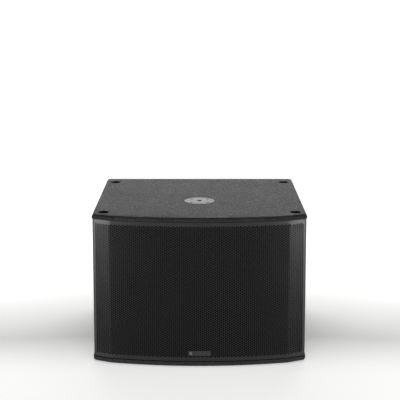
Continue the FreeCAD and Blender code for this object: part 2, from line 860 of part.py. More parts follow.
def make_controls():
    """Two knobs on their controls, the polarity button, the mains rocker, the inlet and the lamps."""
    knob_gap = 1.0
    knob_height = 12.0
    pots = []
    for name, (x, z) in zip(("level_knob", "crossover_knob"), knob_places):
        start = V(x, plate_face_y + knob_gap + 1.0, z)
        knob = Part.makeCone(9.0, 7.6, knob_height, start, BACK)
        for number in range(12):
            turn = math.radians(30 * number)
            flute_start = V(x + 9.4 * math.cos(turn), plate_face_y + 4.0, z + 9.4 * math.sin(turn))
            knob = knob.cut(rod(1.3, knob_height, flute_start, BACK))
        line = block(
            (x - 0.6, x + 0.6),
            (start.y + knob_height - 1.0, start.y + knob_height + 1),
            (z + 1.5, z + 9.0),
        )
        stem = rod(stem_radius, 14.0, V(x, plate_face_y - 12.0 + knob_gap + 1.0, z), BACK)
        save(name, knob.cut(line).fuse(stem))
        pot = rod(pot_radius, 9.0, V(x, plate_face_y - amp_sheet - 9.0, z), BACK)
        pot = pot.fuse(rod(bush_radius, amp_sheet + 1.0, V(x, plate_face_y - amp_sheet, z), BACK))
        pots.append(pot.cut(rod(stem_radius + slack, 30.0, V(x, plate_face_y - 11.0, z), BACK)))
    x, z = button_place
    button = rod(button_radius, 9.0, V(x, plate_face_y - amp_sheet - 1.0, z), BACK)
    top_y = plate_face_y - amp_sheet - 1.0 + 9.0

    def at_cap(edge):
        return abs(edge.BoundBox.YMin - top_y) < 1e-6

    save("polarity_button", softened(button, 0.8, at_cap))
    switch = block((x - 6.0, x + 6.0), (plate_face_y - 16.0, plate_face_y - amp_sheet), (z - 6.0, z + 6.0))
    switch = switch.cut(rod(button_radius + 0.3, 4.0, V(x, plate_face_y - amp_sheet, z), FRONT))
    save("control_bodies", group(pots + [switch]))

    x, z = rocker_place
    frame_face = plate_face_y + 2.5
    frame = block((x - 16.0, x + 16.0), (plate_face_y, frame_face), (z - 12.0, z + 12.0))
    frame = softened(frame, 2.0, lengthways)
    frame = frame.fuse(block((x - 13.5, x + 13.5), (plate_face_y - 16.0, plate_face_y), (z - 9.5, z + 9.5)))
    frame = frame.cut(block((x - 11.0, x + 11.0), (plate_face_y - 12.0, frame_face + 1), (z - 7.0, z + 7.0)))
    pin_seat = V(x - rocker_pin_length / 2 - 0.5, rocker_pivot_y, z)
    frame = frame.cut(rod(rocker_pin_radius + slack, rocker_pin_length + 1.0, pin_seat, RIGHT))
    save("switch_frame", frame)
    save("power_rocker", make_rocker(x, z))

    x, z = inlet_place
    inlet = block((x - 25.0, x + 25.0), (plate_face_y, plate_face_y + flange_sheet), (z - 14.0, z + 14.0))
    inlet = softened(inlet, 5.0, lengthways)
    inlet = inlet.fuse(block((x - 14.5, x + 14.5), (plate_face_y - 20.0, plate_face_y), (z - 11.0, z + 11.0)))
    mouth = plate_face_y + flange_sheet
    inlet = inlet.cut(block((x - 12.0, x + 12.0), (mouth - 16.0, mouth + 1), (z - 8.0, z + 8.0)))
    for pin_x, pin_z in ((-7.0, 0.5), (0.0, 3.5), (7.0, 0.5)):
        pin_xs = (x + pin_x - 1.0, x + pin_x + 1.0)
        pin_zs = (z + pin_z - 2.0, z + pin_z + 2.0)
        inlet = inlet.fuse(block(pin_xs, (mouth - 17.0, mouth - 3.0), pin_zs))
    save("mains_inlet", drilled(inlet, socket_screw, socket_screw_places()))

    lamps = []
    for lamp_x, lamp_z in led_places:
        lamp = rod(2.0, 6.0, V(lamp_x, plate_face_y - 5.0, lamp_z), BACK)
        lamps.append(lamp.fuse(Part.makeSphere(2.0, V(lamp_x, plate_face_y + 1.0, lamp_z), BACK, 0, 90, 360)))
    save("status_lamps", group(lamps))


rocker_tilt = 8.0
rocker_pivot_y = plate_face_y - 4.0
rocker_pin_radius = 1.5
rocker_pin_length = 24.0


def make_rocker(x, z):
    """Rocker tilted to its off side about a pivot along X."""
    outline_points = [
        V(0, rocker_pivot_y - 4.0, z - 4.0),
        V(0, rocker_pivot_y - 4.0, z + 4.0),
        V(0, rocker_pivot_y + 6.3, z + 5.9),
        V(0, rocker_pivot_y + 5.6, z),
        V(0, rocker_pivot_y + 6.3, z - 5.9),
    ]
    face = Part.Face(Part.makePolygon(outline_points + [outline_points[0]]))
    face.translate(V(x - 10.6, 0, 0))
    rocker = face.extrude(V(21.2, 0, 0))
    pin_start = V(x - rocker_pin_length / 2, rocker_pivot_y, z)
    rocker = rocker.fuse(rod(rocker_pin_radius, rocker_pin_length, pin_start, RIGHT))
    rocker.rotate(V(x, rocker_pivot_y, z), RIGHT, -rocker_tilt)
    return rocker


def make_module_insides():
    """Sheet cover, main board held between its sides, toroid and reservoir capacitors."""
    half_x = amp_width / 2 - 18.0
    low = amp_low_z + 18.0
    high = amp_high_z - 18.0
    cover_y = 227.5
    cover = block((-half_x, half_x), (cover_y, back_face_y + gasket_sheet), (low, high))
    sheet = 1.5
    hollow = block(
        (-half_x + sheet, half_x - sheet),
        (cover_y + sheet, back_face_y + gasket_sheet + 1),
        (low + sheet, high - sheet),
    )
    save("amp_cover", cover.cut(hollow))
    board_y = 266.0
    board_sheet = 1.6
    board_x = half_x - sheet
    save("main_board", block((-board_x, board_x), (board_y, board_y + board_sheet), (82.0, 290.0)))
    toroid = ring(38.0, 12.0, 30.0, V(-62.0, board_y, 136.0), FRONT)
    save("power_toroid", softened(toroid, 8.0, lambda edge: edge.BoundBox.XLength > 70.0))
    capacitors = []
    for x in (30.0, 60.0, 90.0):
        for z in (144.0, 176.0):
            capacitors.append(rod(12.0, 34.0, V(x, board_y, z), FRONT))
    save("capacitors", group(capacitors))


def main():
    """Make every piece."""
    make_top_panel()
    make_bottom_panel()
    make_side_panels()
    make_back_panel()
    make_baffle()
    make_partitions()
    make_braces()
    make_grille()
    make_grille_foam()
    make_badge()
    make_pole_socket()
    make_stacking_cups()
    make_feet()
    make_handles()
    make_basket()
    make_moving_parts_of_driver()
    make_motor()
    make_driver_trim()
    make_cable()
    make_amp_plate()
    make_heatsink()
    make_signal_sockets()
    make_controls()
    make_module_insides()


main()
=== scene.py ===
import json
import math

import bmesh
import bpy
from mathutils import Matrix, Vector, noise as mathutils_noise


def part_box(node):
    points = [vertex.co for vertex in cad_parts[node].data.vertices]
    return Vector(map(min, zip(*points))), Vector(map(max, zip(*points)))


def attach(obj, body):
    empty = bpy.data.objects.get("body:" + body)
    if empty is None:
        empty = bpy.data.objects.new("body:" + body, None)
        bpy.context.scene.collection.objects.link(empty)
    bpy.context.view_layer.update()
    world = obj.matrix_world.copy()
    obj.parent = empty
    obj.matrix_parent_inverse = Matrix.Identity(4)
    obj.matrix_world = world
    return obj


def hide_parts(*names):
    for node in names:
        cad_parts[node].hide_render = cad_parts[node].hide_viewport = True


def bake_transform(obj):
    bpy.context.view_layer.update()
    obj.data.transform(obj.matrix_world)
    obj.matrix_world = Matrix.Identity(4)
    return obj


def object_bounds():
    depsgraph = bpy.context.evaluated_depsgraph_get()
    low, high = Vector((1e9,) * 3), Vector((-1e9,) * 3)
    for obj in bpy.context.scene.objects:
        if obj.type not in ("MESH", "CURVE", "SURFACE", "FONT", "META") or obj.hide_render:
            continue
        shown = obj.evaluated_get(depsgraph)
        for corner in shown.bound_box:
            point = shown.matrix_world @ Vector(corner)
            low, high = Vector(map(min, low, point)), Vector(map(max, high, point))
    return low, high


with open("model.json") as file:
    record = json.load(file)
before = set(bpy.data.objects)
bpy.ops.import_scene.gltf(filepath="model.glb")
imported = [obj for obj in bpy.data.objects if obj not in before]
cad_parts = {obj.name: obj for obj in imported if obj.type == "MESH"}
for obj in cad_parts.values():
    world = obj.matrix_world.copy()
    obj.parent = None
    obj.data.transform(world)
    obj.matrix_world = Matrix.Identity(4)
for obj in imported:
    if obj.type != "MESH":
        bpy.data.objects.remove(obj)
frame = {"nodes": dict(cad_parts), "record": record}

cad_low, cad_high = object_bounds()

# Powered bass cabinet. Metres, in the frame's own axes: +X right from the front, +Y back, +Z up.

# ---- Driving sizes of the bowed front, and levels read from the frame ----

FRONT_Y = -0.3275  # middle of the bowed front
FACET_X = 0.283  # bend between the bow and each facet
FACET_BACK = 0.031  # how far that bend stands behind the middle
CORNER_BACK = 0.057  # how far the front corners stand behind the middle
CORNER_BEND = 0.0095  # outer radius where a facet turns into its side flange
GRILLE_INSET = 0.0025  # sheet's outer face behind the outline of the panels
GRILLE_SHEET = 0.0015
BADGE_FRONT = -0.0015  # badge's face, as a depth behind the sheet's outer face

HALF_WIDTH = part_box("top_panel")[1].x
BOW_RADIUS = (FACET_X ** 2 + FACET_BACK ** 2) / (2 * FACET_BACK)
SLOPE = math.atan2(CORNER_BACK - FACET_BACK, HALF_WIDTH - FACET_X)
GRILLE_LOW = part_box("grille")[0].z
GRILLE_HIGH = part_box("grille")[1].z
FLANGE_END_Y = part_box("grille")[1].y

# Spacing of the staggered holes, and the plain metal left round them.
ROW_PITCH = 0.0076
COLUMN_PITCH = 0.00658
HOLE_RADIUS = 0.0032
SIDE_BORDER = 0.0075
TOP_BORDER = 0.0078


# ---- Mesh helpers ----

DOUBLED = 1e-6  # points nearer than this are one point
FRAME_DOUBLED = 2e-6  # the same in the frame's own meshes


def link_object(name, data):
    """A new object in the scene that holds the data."""
    placed = bpy.data.objects.new(name, data)
    bpy.context.scene.collection.objects.link(placed)
    return placed


def plain_mesh(name, verts, faces):
    """A mesh from plain lists."""
    mesh = bpy.data.meshes.new(name)
    mesh.from_pydata(verts, [], faces)
    return mesh


def working_copy(mesh, merge):
    """An editable copy of a mesh; points nearer than merge become one, unless it is 0."""
    work = bmesh.new()
    work.from_mesh(mesh)
    if merge:
        bmesh.ops.remove_doubles(work, verts=work.verts, dist=merge)
    return work


def write_back(work, mesh):
    """Put an editable copy into a mesh and let it go."""
    work.to_mesh(mesh)
    work.free()


def new_piece(name, verts, faces, material):
    """An object from plain lists, with outward normals."""
    mesh = plain_mesh(name, verts, faces)
    mesh.materials.append(material)
    set_outward(mesh)
    return link_object(name, mesh)


def set_outward(mesh, merge=DOUBLED):
    """Turn every face outwards, once points nearer than merge are one, unless merge is 0."""
    work = working_copy(mesh, merge)
    bmesh.ops.recalc_face_normals(work, faces=work.faces)
    write_back(work, mesh)


def smooth_by_angle(mesh, degrees=30):
    """Smooth shading that keeps edges sharper than the angle."""
    for face in mesh.polygons:
        face.use_smooth = True
    mesh.set_sharp_from_angle(angle=math.radians(degrees))


def bake_modifiers(piece):
    """Turn a piece and its modifiers into a plain mesh."""
    graph = bpy.context.evaluated_depsgraph_get()
    mesh = bpy.data.meshes.new_from_object(piece.evaluated_get(graph))
    piece.modifiers.clear()
    old = piece.data
    piece.data = mesh
    mesh.name = piece.name
    bpy.data.meshes.remove(old)
    return piece


# ---- Plan of the bowed and faceted sheet ----

class SheetPlan:
    """Maps a length along the grille's outer face, and a depth behind it, to plan coordinates."""

    def __init__(self, inset):
        self.radius = BOW_RADIUS - inset
        self.centre_y = FRONT_Y + BOW_RADIUS
        self.along = Vector((math.cos(SLOPE), math.sin(SLOPE)))
        self.inward = Vector((-math.sin(SLOPE), math.cos(SLOPE)))
        on_facet = Vector((FACET_X, FRONT_Y + FACET_BACK)) + self.inward * inset
        from_centre = on_facet - Vector((0, self.centre_y))
        half_b = from_centre.dot(self.along)
        spread = half_b ** 2 - (from_centre.length_squared - self.radius ** 2)
        reach = min((-half_b - math.sqrt(spread), -half_b + math.sqrt(spread)), key=abs)
        self.bend = on_facet + self.along * reach
        self.bow_half = self.radius * math.asin(self.bend.x / self.radius)
        self.facet_length = (HALF_WIDTH - inset - self.bend.x) / self.along.x
        turn = math.pi / 2 - SLOPE
        cut_off = CORNER_BEND * math.tan(turn / 2)
        self.corner_start = self.bow_half + self.facet_length - cut_off
        self.corner_length = CORNER_BEND * turn
        corner_y = self.bend.y + self.facet_length * self.along.y + cut_off
        self.end = self.corner_start + self.corner_length + (FLANGE_END_Y - corner_y)

    def point(self, length, depth):
        """Plan (x, y) of a point on the sheet."""
        side = -1 if length < 0 else 1
        reach = abs(length)
        if reach <= self.bow_half:
            angle = reach / self.radius
            arm = self.radius - depth
            return side * arm * math.sin(angle), self.centre_y - arm * math.cos(angle)
        if reach <= self.corner_start:
            spot = self.bend + self.along * (reach - self.bow_half) + self.inward * depth
            return side * spot.x, spot.y
        pivot = self.bend + self.along * (self.corner_start - self.bow_half) + self.inward * CORNER_BEND
        if reach <= self.corner_start + self.corner_length:
            turn = SLOPE + (reach - self.corner_start) / CORNER_BEND
            outward = Vector((math.sin(turn), -math.cos(turn)))
            spot = pivot + outward * (CORNER_BEND - depth)
            return side * spot.x, spot.y
        past = reach - self.corner_start - self.corner_length
        return side * (pivot.x + CORNER_BEND - depth), pivot.y + past


plan = SheetPlan(GRILLE_INSET)


# ---- Shader groups shared by the finishes ----

def feed(tree, socket, value):
    """Link another socket to a socket, or set its plain value."""
    if isinstance(value, bpy.types.NodeSocket):
        tree.links.new(value, socket)
    else:
        socket.default_value = value


def new_group(name, inputs, outputs):
    """A shader group with float inputs and outputs: its tree, what comes in and what goes out."""
    tree = bpy.data.node_groups.new(name, "ShaderNodeTree")
    for label, value in inputs:
        socket = tree.interface.new_socket(label, in_out="INPUT", socket_type="NodeSocketFloat")
        socket.default_value = value
    for label in outputs:
        tree.interface.new_socket(label, in_out="OUTPUT", socket_type="NodeSocketFloat")
    return tree, tree.nodes.new("NodeGroupInput").outputs, tree.nodes.new("NodeGroupOutput").inputs


def put_out(tree, results, **sockets):
    """Link a group's results to its outputs by name."""
    for label, socket in sockets.items():
        tree.links.new(socket, results[label])


def object_coordinates(tree):
    """Coordinates in the frame's axes, which a piece shares."""
    return tree.nodes.new("ShaderNodeTexCoord").outputs["Object"]


def noise(tree, coordinates, scale, detail, roughness):
    """Noise read at the given coordinates."""
    node = tree.nodes.new("ShaderNodeTexNoise")
    feed(tree, node.inputs["Scale"], scale)
    node.inputs["Detail"].default_value = detail
    node.inputs["Roughness"].default_value = roughness
    tree.links.new(coordinates, node.inputs["Vector"])
    return node.outputs["Fac"]


def ranged(tree, source, low, high, to_low, to_high, blend="LINEAR"):
    """Map a value from one range to another, held at its ends."""
    node = tree.nodes.new("ShaderNodeMapRange")
    node.interpolation_type = blend
    for label, value in (("From Min", low), ("From Max", high), ("To Min", to_low), ("To Max", to_high)):
        node.inputs[label].default_value = value
    tree.links.new(source, node.inputs["Value"])
    return node.outputs[0]


def maths(tree, operation, *values):
    """A maths node's result; each value is a socket or a number."""
    node = tree.nodes.new("ShaderNodeMath")
    node.operation = operation
    for number, value in enumerate(values):
        feed(tree, node.inputs[number], value)
    return node.outputs[0]


def make_sprayed_texture():
    """Pebbled droplets of a sprayed coating: height, droplet mask and slow drifts of tone."""
    tree, scales, results = new_group(
        "sprayed_texture",
        [("Droplet Scale", 420.0), ("Ripple Scale", 90.0), ("Cloud Scale", 5.0)],
        ["Height", "Droplets", "Speckle", "Cloud"],
    )
    coords = object_coordinates(tree)
    cells = tree.nodes.new("ShaderNodeTexVoronoi")
    cells.feature = "SMOOTH_F1"
    cells.inputs["Smoothness"].default_value = 0.4
    tree.links.new(coords, cells.inputs["Vector"])
    tree.links.new(scales["Droplet Scale"], cells.inputs["Scale"])
    drops = ranged(tree, cells.outputs["Distance"], 0.05, 0.6, 1.0, 0.0)
    ripple = noise(tree, coords, scales["Ripple Scale"], 3.0, 0.6)
    cloud = noise(tree, coords, scales["Cloud Scale"], 4.0, 0.55)
    height = maths(tree, "ADD", drops, ripple)
    put_out(tree, results, Height=height, Droplets=drops, Speckle=ripple, Cloud=cloud)
    return tree


def make_fine_grain():
    """Fine moulded or powder-coated grain with a slower smudge over it."""
    tree, scales, results = new_group(
        "fine_grain", [("Grain Scale", 900.0), ("Smudge Scale", 14.0)], ["Height", "Smudge"]
    )
    coords = object_coordinates(tree)
    grain = noise(tree, coords, scales["Grain Scale"], 2.0, 0.6)
    smudge = noise(tree, coords, scales["Smudge Scale"], 5.0, 0.6)
    put_out(tree, results, Height=grain, Smudge=smudge)
    return tree


def make_drawn_lines():
    """Long fine lines left in metal or wood along one direction, stretched by the given factors."""
    tree, factors, results = new_group(
        "drawn_lines", [("Across X", 40.0), ("Across Y", 900.0), ("Across Z", 900.0)], ["Height", "Bands"]
    )
    stretch = tree.nodes.new("ShaderNodeCombineXYZ")
    for axis in "XYZ":
        tree.links.new(factors["Across " + axis], stretch.inputs[axis])
    scaled = tree.nodes.new("ShaderNodeVectorMath")
    scaled.operation = "MULTIPLY"
    tree.links.new(object_coordinates(tree), scaled.inputs[0])
    tree.links.new(stretch.outputs[0], scaled.inputs[1])
    lines = noise(tree, scaled.outputs[0], 1.0, 3.0, 0.6)
    bands = noise(tree, scaled.outputs[0], 0.22, 2.0, 0.5)
    put_out(tree, results, Height=lines, Bands=bands)
    return tree


SPRAYED = make_sprayed_texture()
GRAIN = make_fine_grain()
LINES = make_drawn_lines()


# ---- Finishes ----

class Finish:
    """A material with a Principled shader, and short ways to wire patterns into it."""

    def __init__(self, name, metallic=0.0, specular=0.5, coat=0.0):
        self.material = bpy.data.materials.new(name)
        self.material.use_nodes = True
        self.tree = self.material.node_tree
        self.shader = self.tree.nodes["Principled BSDF"]
        self.set_plain("Metallic", metallic)
        self.set_plain("Specular IOR Level", specular)
        self.set_plain("Coat Weight", coat)
        self.set_plain("Coat Roughness", 0.2)

    def set_plain(self, label, value):
        """Set a value that is the same all over the surface."""
        self.shader.inputs[label].default_value = value

    def pattern(self, group, **values):
        """Place a shared group with its own values, and return its outputs."""
        node = self.tree.nodes.new("ShaderNodeGroup")
        node.node_tree = group
        for label, value in values.items():
            node.inputs[label.replace("_", " ")].default_value = value
        return node.outputs

    def tones(self, mask, stops):
        """Base colour that runs through the stops as the mask goes from 0 to 1."""
        ramp = self.tree.nodes.new("ShaderNodeValToRGB")
        elements = ramp.color_ramp.elements
        for element, (place, colour) in zip(elements, (stops[0], stops[-1])):
            element.position = place
            element.color = (*colour, 1)
        for place, colour in stops[1:-1]:
            elements.new(place).color = (*colour, 1)
        self.tree.links.new(mask, ramp.inputs["Fac"])
        self.tree.links.new(ramp.outputs["Color"], self.shader.inputs["Base Color"])

    def roughness(self, mask, low, high):
        """Roughness that follows the mask."""
        self.tree.links.new(ranged(self.tree, mask, 0.3, 0.7, low, high), self.shader.inputs["Roughness"])

    def bump(self, height, depth, strength):
        """Surface relief from a height, in metres."""
        node = self.tree.nodes.new("ShaderNodeBump")
        node.inputs["Distance"].default_value = depth
        node.inputs["Strength"].default_value = strength
        self.tree.links.new(height, node.inputs["Height"])
        self.tree.links.new(node.outputs["Normal"], self.shader.inputs["Normal"])


def grey(value):
    """A neutral colour."""
    return (value, value, value)


def rough_black_coating():
    """Sprayed protective coating: charcoal droplets with a painted highlight on their raised tops, and a slow
    random drift of tone.
    """
    finish = Finish("rough_black_coating", specular=0.3)
    spray = finish.pattern(SPRAYED, Droplet_Scale=520.0, Ripple_Scale=150.0, Cloud_Scale=6.0)
    # Painted highlight: the colour is lighter where droplets and ripples stand raised, as if they caught the
    # light; the cloud adds a slow random drift of tone.
    drops = maths(finish.tree, "MULTIPLY", spray["Droplets"], 0.25)
    drift = maths(finish.tree, "MULTIPLY_ADD", spray["Cloud"], 0.2, drops)
    tone = maths(finish.tree, "MULTIPLY_ADD", spray["Speckle"], 0.7, drift)
    finish.tones(tone, [(0.4, grey(0.003)), (0.55, grey(0.014)), (0.75, grey(0.075))])
    finish.roughness(spray["Speckle"], 0.38, 0.7)
    finish.bump(spray["Height"], 0.0024, 0.9)
    return finish.material


def powder_coated_sheet():
    """Satin black powder coat of the grille."""
    finish = Finish("powder_coated_sheet", specular=0.38)
    grain = finish.pattern(GRAIN, Grain_Scale=1400.0, Smudge_Scale=9.0)
    finish.tones(grain["Smudge"], [(0.3, grey(0.005)), (0.7, grey(0.008))])
    finish.roughness(grain["Smudge"], 0.33, 0.42)
    finish.bump(grain["Height"], 0.00006, 0.6)
    return finish.material


def plain_grain(name, dark, light, rough, scale=900.0, depth=0.00008, specular=0.5, metallic=0.0):
    """A grained plastic, rubber or paint between two tones."""
    finish = Finish(name, specular=specular, metallic=metallic)
    grain = finish.pattern(GRAIN, Grain_Scale=scale, Smudge_Scale=18.0)
    finish.tones(grain["Smudge"], [(0.25, dark), (0.75, light)])
    finish.roughness(grain["Smudge"], *rough)
    finish.bump(grain["Height"], depth, 0.7)
    return finish.material


def drawn_metal(name, dark, light, rough, across):
    """Rolled or brushed metal with lines along one axis."""
    finish = Finish(name, metallic=1.0)
    lines = finish.pattern(LINES, Across_X=across[0], Across_Y=across[1], Across_Z=across[2])
    finish.tones(lines["Bands"], [(0.3, dark), (0.7, light)])
    finish.roughness(lines["Height"], *rough)
    finish.bump(lines["Height"], 0.00003, 0.5)
    return finish.material


def zinc_plate():
    """Dull galvanised steel with pale crystal patches."""
    finish = Finish("zinc_plate", metallic=0.85)
    tree = finish.tree
    crystals = tree.nodes.new("ShaderNodeTexVoronoi")
    crystals.inputs["Scale"].default_value = 260.0
    tree.links.new(object_coordinates(tree), crystals.inputs["Vector"])
    flake = tree.nodes.new("ShaderNodeSeparateColor")
    tree.links.new(crystals.outputs["Color"], flake.inputs["Color"])
    grain = finish.pattern(GRAIN, Grain_Scale=1500.0, Smudge_Scale=30.0)
    patches = maths(tree, "MULTIPLY", flake.outputs[0], 0.45)
    tone = maths(tree, "MULTIPLY_ADD", grain["Smudge"], 0.55, patches)
    finish.tones(tone, [(0.15, grey(0.36)), (0.5, grey(0.52)), (0.85, grey(0.68))])
    finish.roughness(grain["Smudge"], 0.5, 0.62)
    finish.bump(grain["Height"], 0.00005, 0.6)
    return finish.material


def open_foam():
    """Black open-cell foam."""
    finish = Finish("open_foam", specular=0.05)
    spray = finish.pattern(SPRAYED, Droplet_Scale=700.0, Ripple_Scale=300.0, Cloud_Scale=8.0)
    finish.tones(spray["Droplets"], [(0.1, grey(0.004)), (0.9, grey(0.0015))])
    finish.set_plain("Roughness", 0.95)
    finish.bump(spray["Height"], 0.0009, 1.0)
    return finish.material


def bare_plywood():
    """Birch plywood with a long grain and darker figure."""
    finish = Finish("bare_plywood", specular=0.35)
    lines = finish.pattern(LINES, Across_X=160.0, Across_Y=160.0, Across_Z=9.0)
    stops = [(0.25, (0.36, 0.23, 0.12)), (0.5, (0.55, 0.4, 0.24)), (0.8, (0.66, 0.52, 0.34))]
    finish.tones(lines["Bands"], stops)
    finish.roughness(lines["Height"], 0.55, 0.75)
    finish.bump(lines["Height"], 0.0001, 0.5)
    return finish.material


def lamp_lens():
    """Small green status lens."""
    finish = Finish("lamp_lens", specular=0.6, coat=0.5)
    grain = finish.pattern(GRAIN, Grain_Scale=500.0, Smudge_Scale=200.0)
    finish.tones(grain["Smudge"], [(0.2, (0.03, 0.3, 0.07)), (0.8, (0.08, 0.5, 0.12))])
    finish.roughness(grain["Smudge"], 0.12, 0.2)
    return finish.material


# Dark and light tone, range of roughness, scale and depth of the grain, specular level, metallic.
GRAINED = {
    "black_screws": (grey(0.012), grey(0.03), (0.3, 0.45), 1600.0, 0.00003, 0.5, 0.6),
    "badge_enamel": (grey(0.01), grey(0.016), (0.36, 0.46), 1500.0, 0.00003),
    "zinc_screws": (grey(0.025), grey(0.05), (0.35, 0.5), 1600.0, 0.00003, 0.5, 1.0),
    "black_moulding": (grey(0.004), grey(0.008), (0.8, 0.95), 700.0, 0.00015, 0.08),
    "rubber": (grey(0.015), grey(0.028), (0.7, 0.85), 500.0, 0.0002, 0.3),
    "grip_bar": (grey(0.016), grey(0.028), (0.5, 0.65), 450.0, 0.0002),
    "basket_paint": (grey(0.015), grey(0.025), (0.4, 0.5)),
    "cone_paper": ((0.02, 0.019, 0.018), (0.045, 0.042, 0.038), (0.7, 0.9), 260.0, 0.0004, 0.3),
    "surround_cloth": (grey(0.015), grey(0.03), (0.5, 0.7), 1200.0, 0.0002),
    "ferrite": (grey(0.03), grey(0.06), (0.6, 0.8), 500.0, 0.0002),
    "terminal_plastic": (grey(0.02), grey(0.035), (0.4, 0.5)),
    "cable_sheath": (grey(0.015), grey(0.03), (0.4, 0.55), 600.0, 0.0001),
    "amp_plate_paint": (grey(0.016), grey(0.026), (0.36, 0.46), 1300.0, 0.00005, 0.5, 0.3),
    "circuit_board": ((0.01, 0.1, 0.035), (0.02, 0.16, 0.06), (0.3, 0.4)),
    "capacitor_sleeve": ((0.01, 0.015, 0.05), (0.02, 0.03, 0.08), (0.2, 0.3)),
    "socket_plastic": (grey(0.014), grey(0.022), (0.3, 0.4), 1100.0, 0.00005),
    "knob_plastic": (grey(0.016), grey(0.026), (0.4, 0.5), 900.0, 0.0001),
    "button_plastic": (grey(0.13), grey(0.17), (0.35, 0.45)),
}
# Dark and light tone, range of roughness, and how closely the lines lie across X, Y and Z.
DRAWN = {
    "coil_copper": ((0.5, 0.22, 0.1), (0.75, 0.4, 0.22), (0.25, 0.4), (60, 1500, 60)),
    "motor_steel": (grey(0.35), grey(0.5), (0.35, 0.5), (300, 300, 300)),
    "amp_cover_steel": (grey(0.4), grey(0.55), (0.35, 0.5), (30, 600, 600)),
    "toroid_tape": ((0.5, 0.36, 0.05), (0.7, 0.52, 0.1), (0.3, 0.5), (500, 60, 500)),
    "latch_metal": (grey(0.4), grey(0.6), (0.25, 0.4), (60, 900, 900)),
}
MATERIALS = {
    "cabinet_coating": rough_black_coating(),
    "raw_ply": bare_plywood(),
    "grille_powder_coat": powder_coated_sheet(),
    "foam": open_foam(),
    "galvanised_steel": zinc_plate(),
    "lamp_lens": lamp_lens(),
}
MATERIALS.update({slot: plain_grain(slot, *look) for slot, look in GRAINED.items()})
MATERIALS.update({slot: drawn_metal(slot, *look) for slot, look in DRAWN.items()})
SLOT_OF = {part["node"]: part["material_slot"] for part in frame["record"]["subparts"]}
BODIES = frame["record"]["behaviour"]["bodies"]
BODY_OF = {node: body for body, nodes in BODIES.items() for node in nodes}


def finish_nodes():
    """Give every CAD node the finish of its slot."""
    for name, node in frame["nodes"].items():
        for place in node.material_slots:
            place.material = MATERIALS[SLOT_OF[name]]


def stand_in(piece, node):
    """Let a finished piece take a node's body and place."""
    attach(piece, BODY_OF[node])
    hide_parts(node)


def add_detail(piece, body):
    """Let a piece that stands for no node ride on a body."""
    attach(piece, body)


def eased_copy(node, bevel):
    """Stand a merged, smooth-shaded copy of a node, with its hard edges eased, in its place."""
    mesh = frame["nodes"][node].data.copy()
    mesh.name = node + "_eased"
    work = working_copy(mesh, FRAME_DOUBLED)
    flat = math.radians(0.5)
    bmesh.ops.dissolve_limit(
        work, angle_limit=flat, verts=work.verts, edges=work.edges, delimit={"NORMAL"}
    )
    write_back(work, mesh)
    if "custom_normal" in mesh.attributes:
        mesh.attributes.remove(mesh.attributes["custom_normal"])
    smooth_by_angle(mesh)
    mesh.materials.clear()
    mesh.materials.append(MATERIALS[SLOT_OF[node]])
    piece = link_object(node + "_eased", mesh)
    if bevel:
        edge = piece.modifiers.new("eased_edges", "BEVEL")
        edge.width = bevel
        edge.segments = 2
        edge.limit_method = "ANGLE"
        edge.angle_limit = math.radians(35)
        edge.harden_normals = True
        edge.use_clamp_overlap = True
        bake_modifiers(piece)
    stand_in(piece, node)


# ---- Grille ----

HOLE_SIDES = 12
BOW_STEPS = 96  # straight steps of the border along the bow
CORNER_STEPS = 8  # and round each corner
WELD = 0.00005  # cells nearer than this are joined


def hole_cell(width, height, radius):
    """One flat cell with a round hole, facing -Y; its rim points match the staggered neighbours."""
    verts = []
    for number in range(HOLE_SIDES):
        angle = 2 * math.pi * number / HOLE_SIDES
        verts.append((radius * math.cos(angle), 0, radius * math.sin(angle)))
    rim = [(1, 0), (1, 1), (-1, 1), (-1, 0), (-1, -1), (1, -1)]
    for across, up in rim:
        verts.append((across * width / 2, 0, up * height / 2))
    faces = []
    arc_steps = HOLE_SIDES // len(rim)
    for first in range(len(rim)):
        second = (first + 1) % len(rim)
        arc = [(first * arc_steps + step) % HOLE_SIDES for step in range(arc_steps + 1)]
        faces.append([HOLE_SIDES + first, HOLE_SIDES + second] + arc[::-1])
    return verts, faces


def plain_cell(width, height):
    """The half-height cell that levels the ends of every other column."""
    verts = [(-width / 2, 0, -height / 4), (width / 2, 0, -height / 4)]
    verts += [(width / 2, 0, height / 4), (-width / 2, 0, height / 4)]
    return verts, [(0, 1, 2, 3)]


def cell_object(name, verts, faces):
    """A mesh for the node tree to repeat, with its faces towards -Y."""
    mesh = plain_mesh(name, verts, faces)
    mesh.update()
    if mesh.polygons[0].normal.y > 0:
        mesh.flip_normals()
    return link_object(name, mesh)


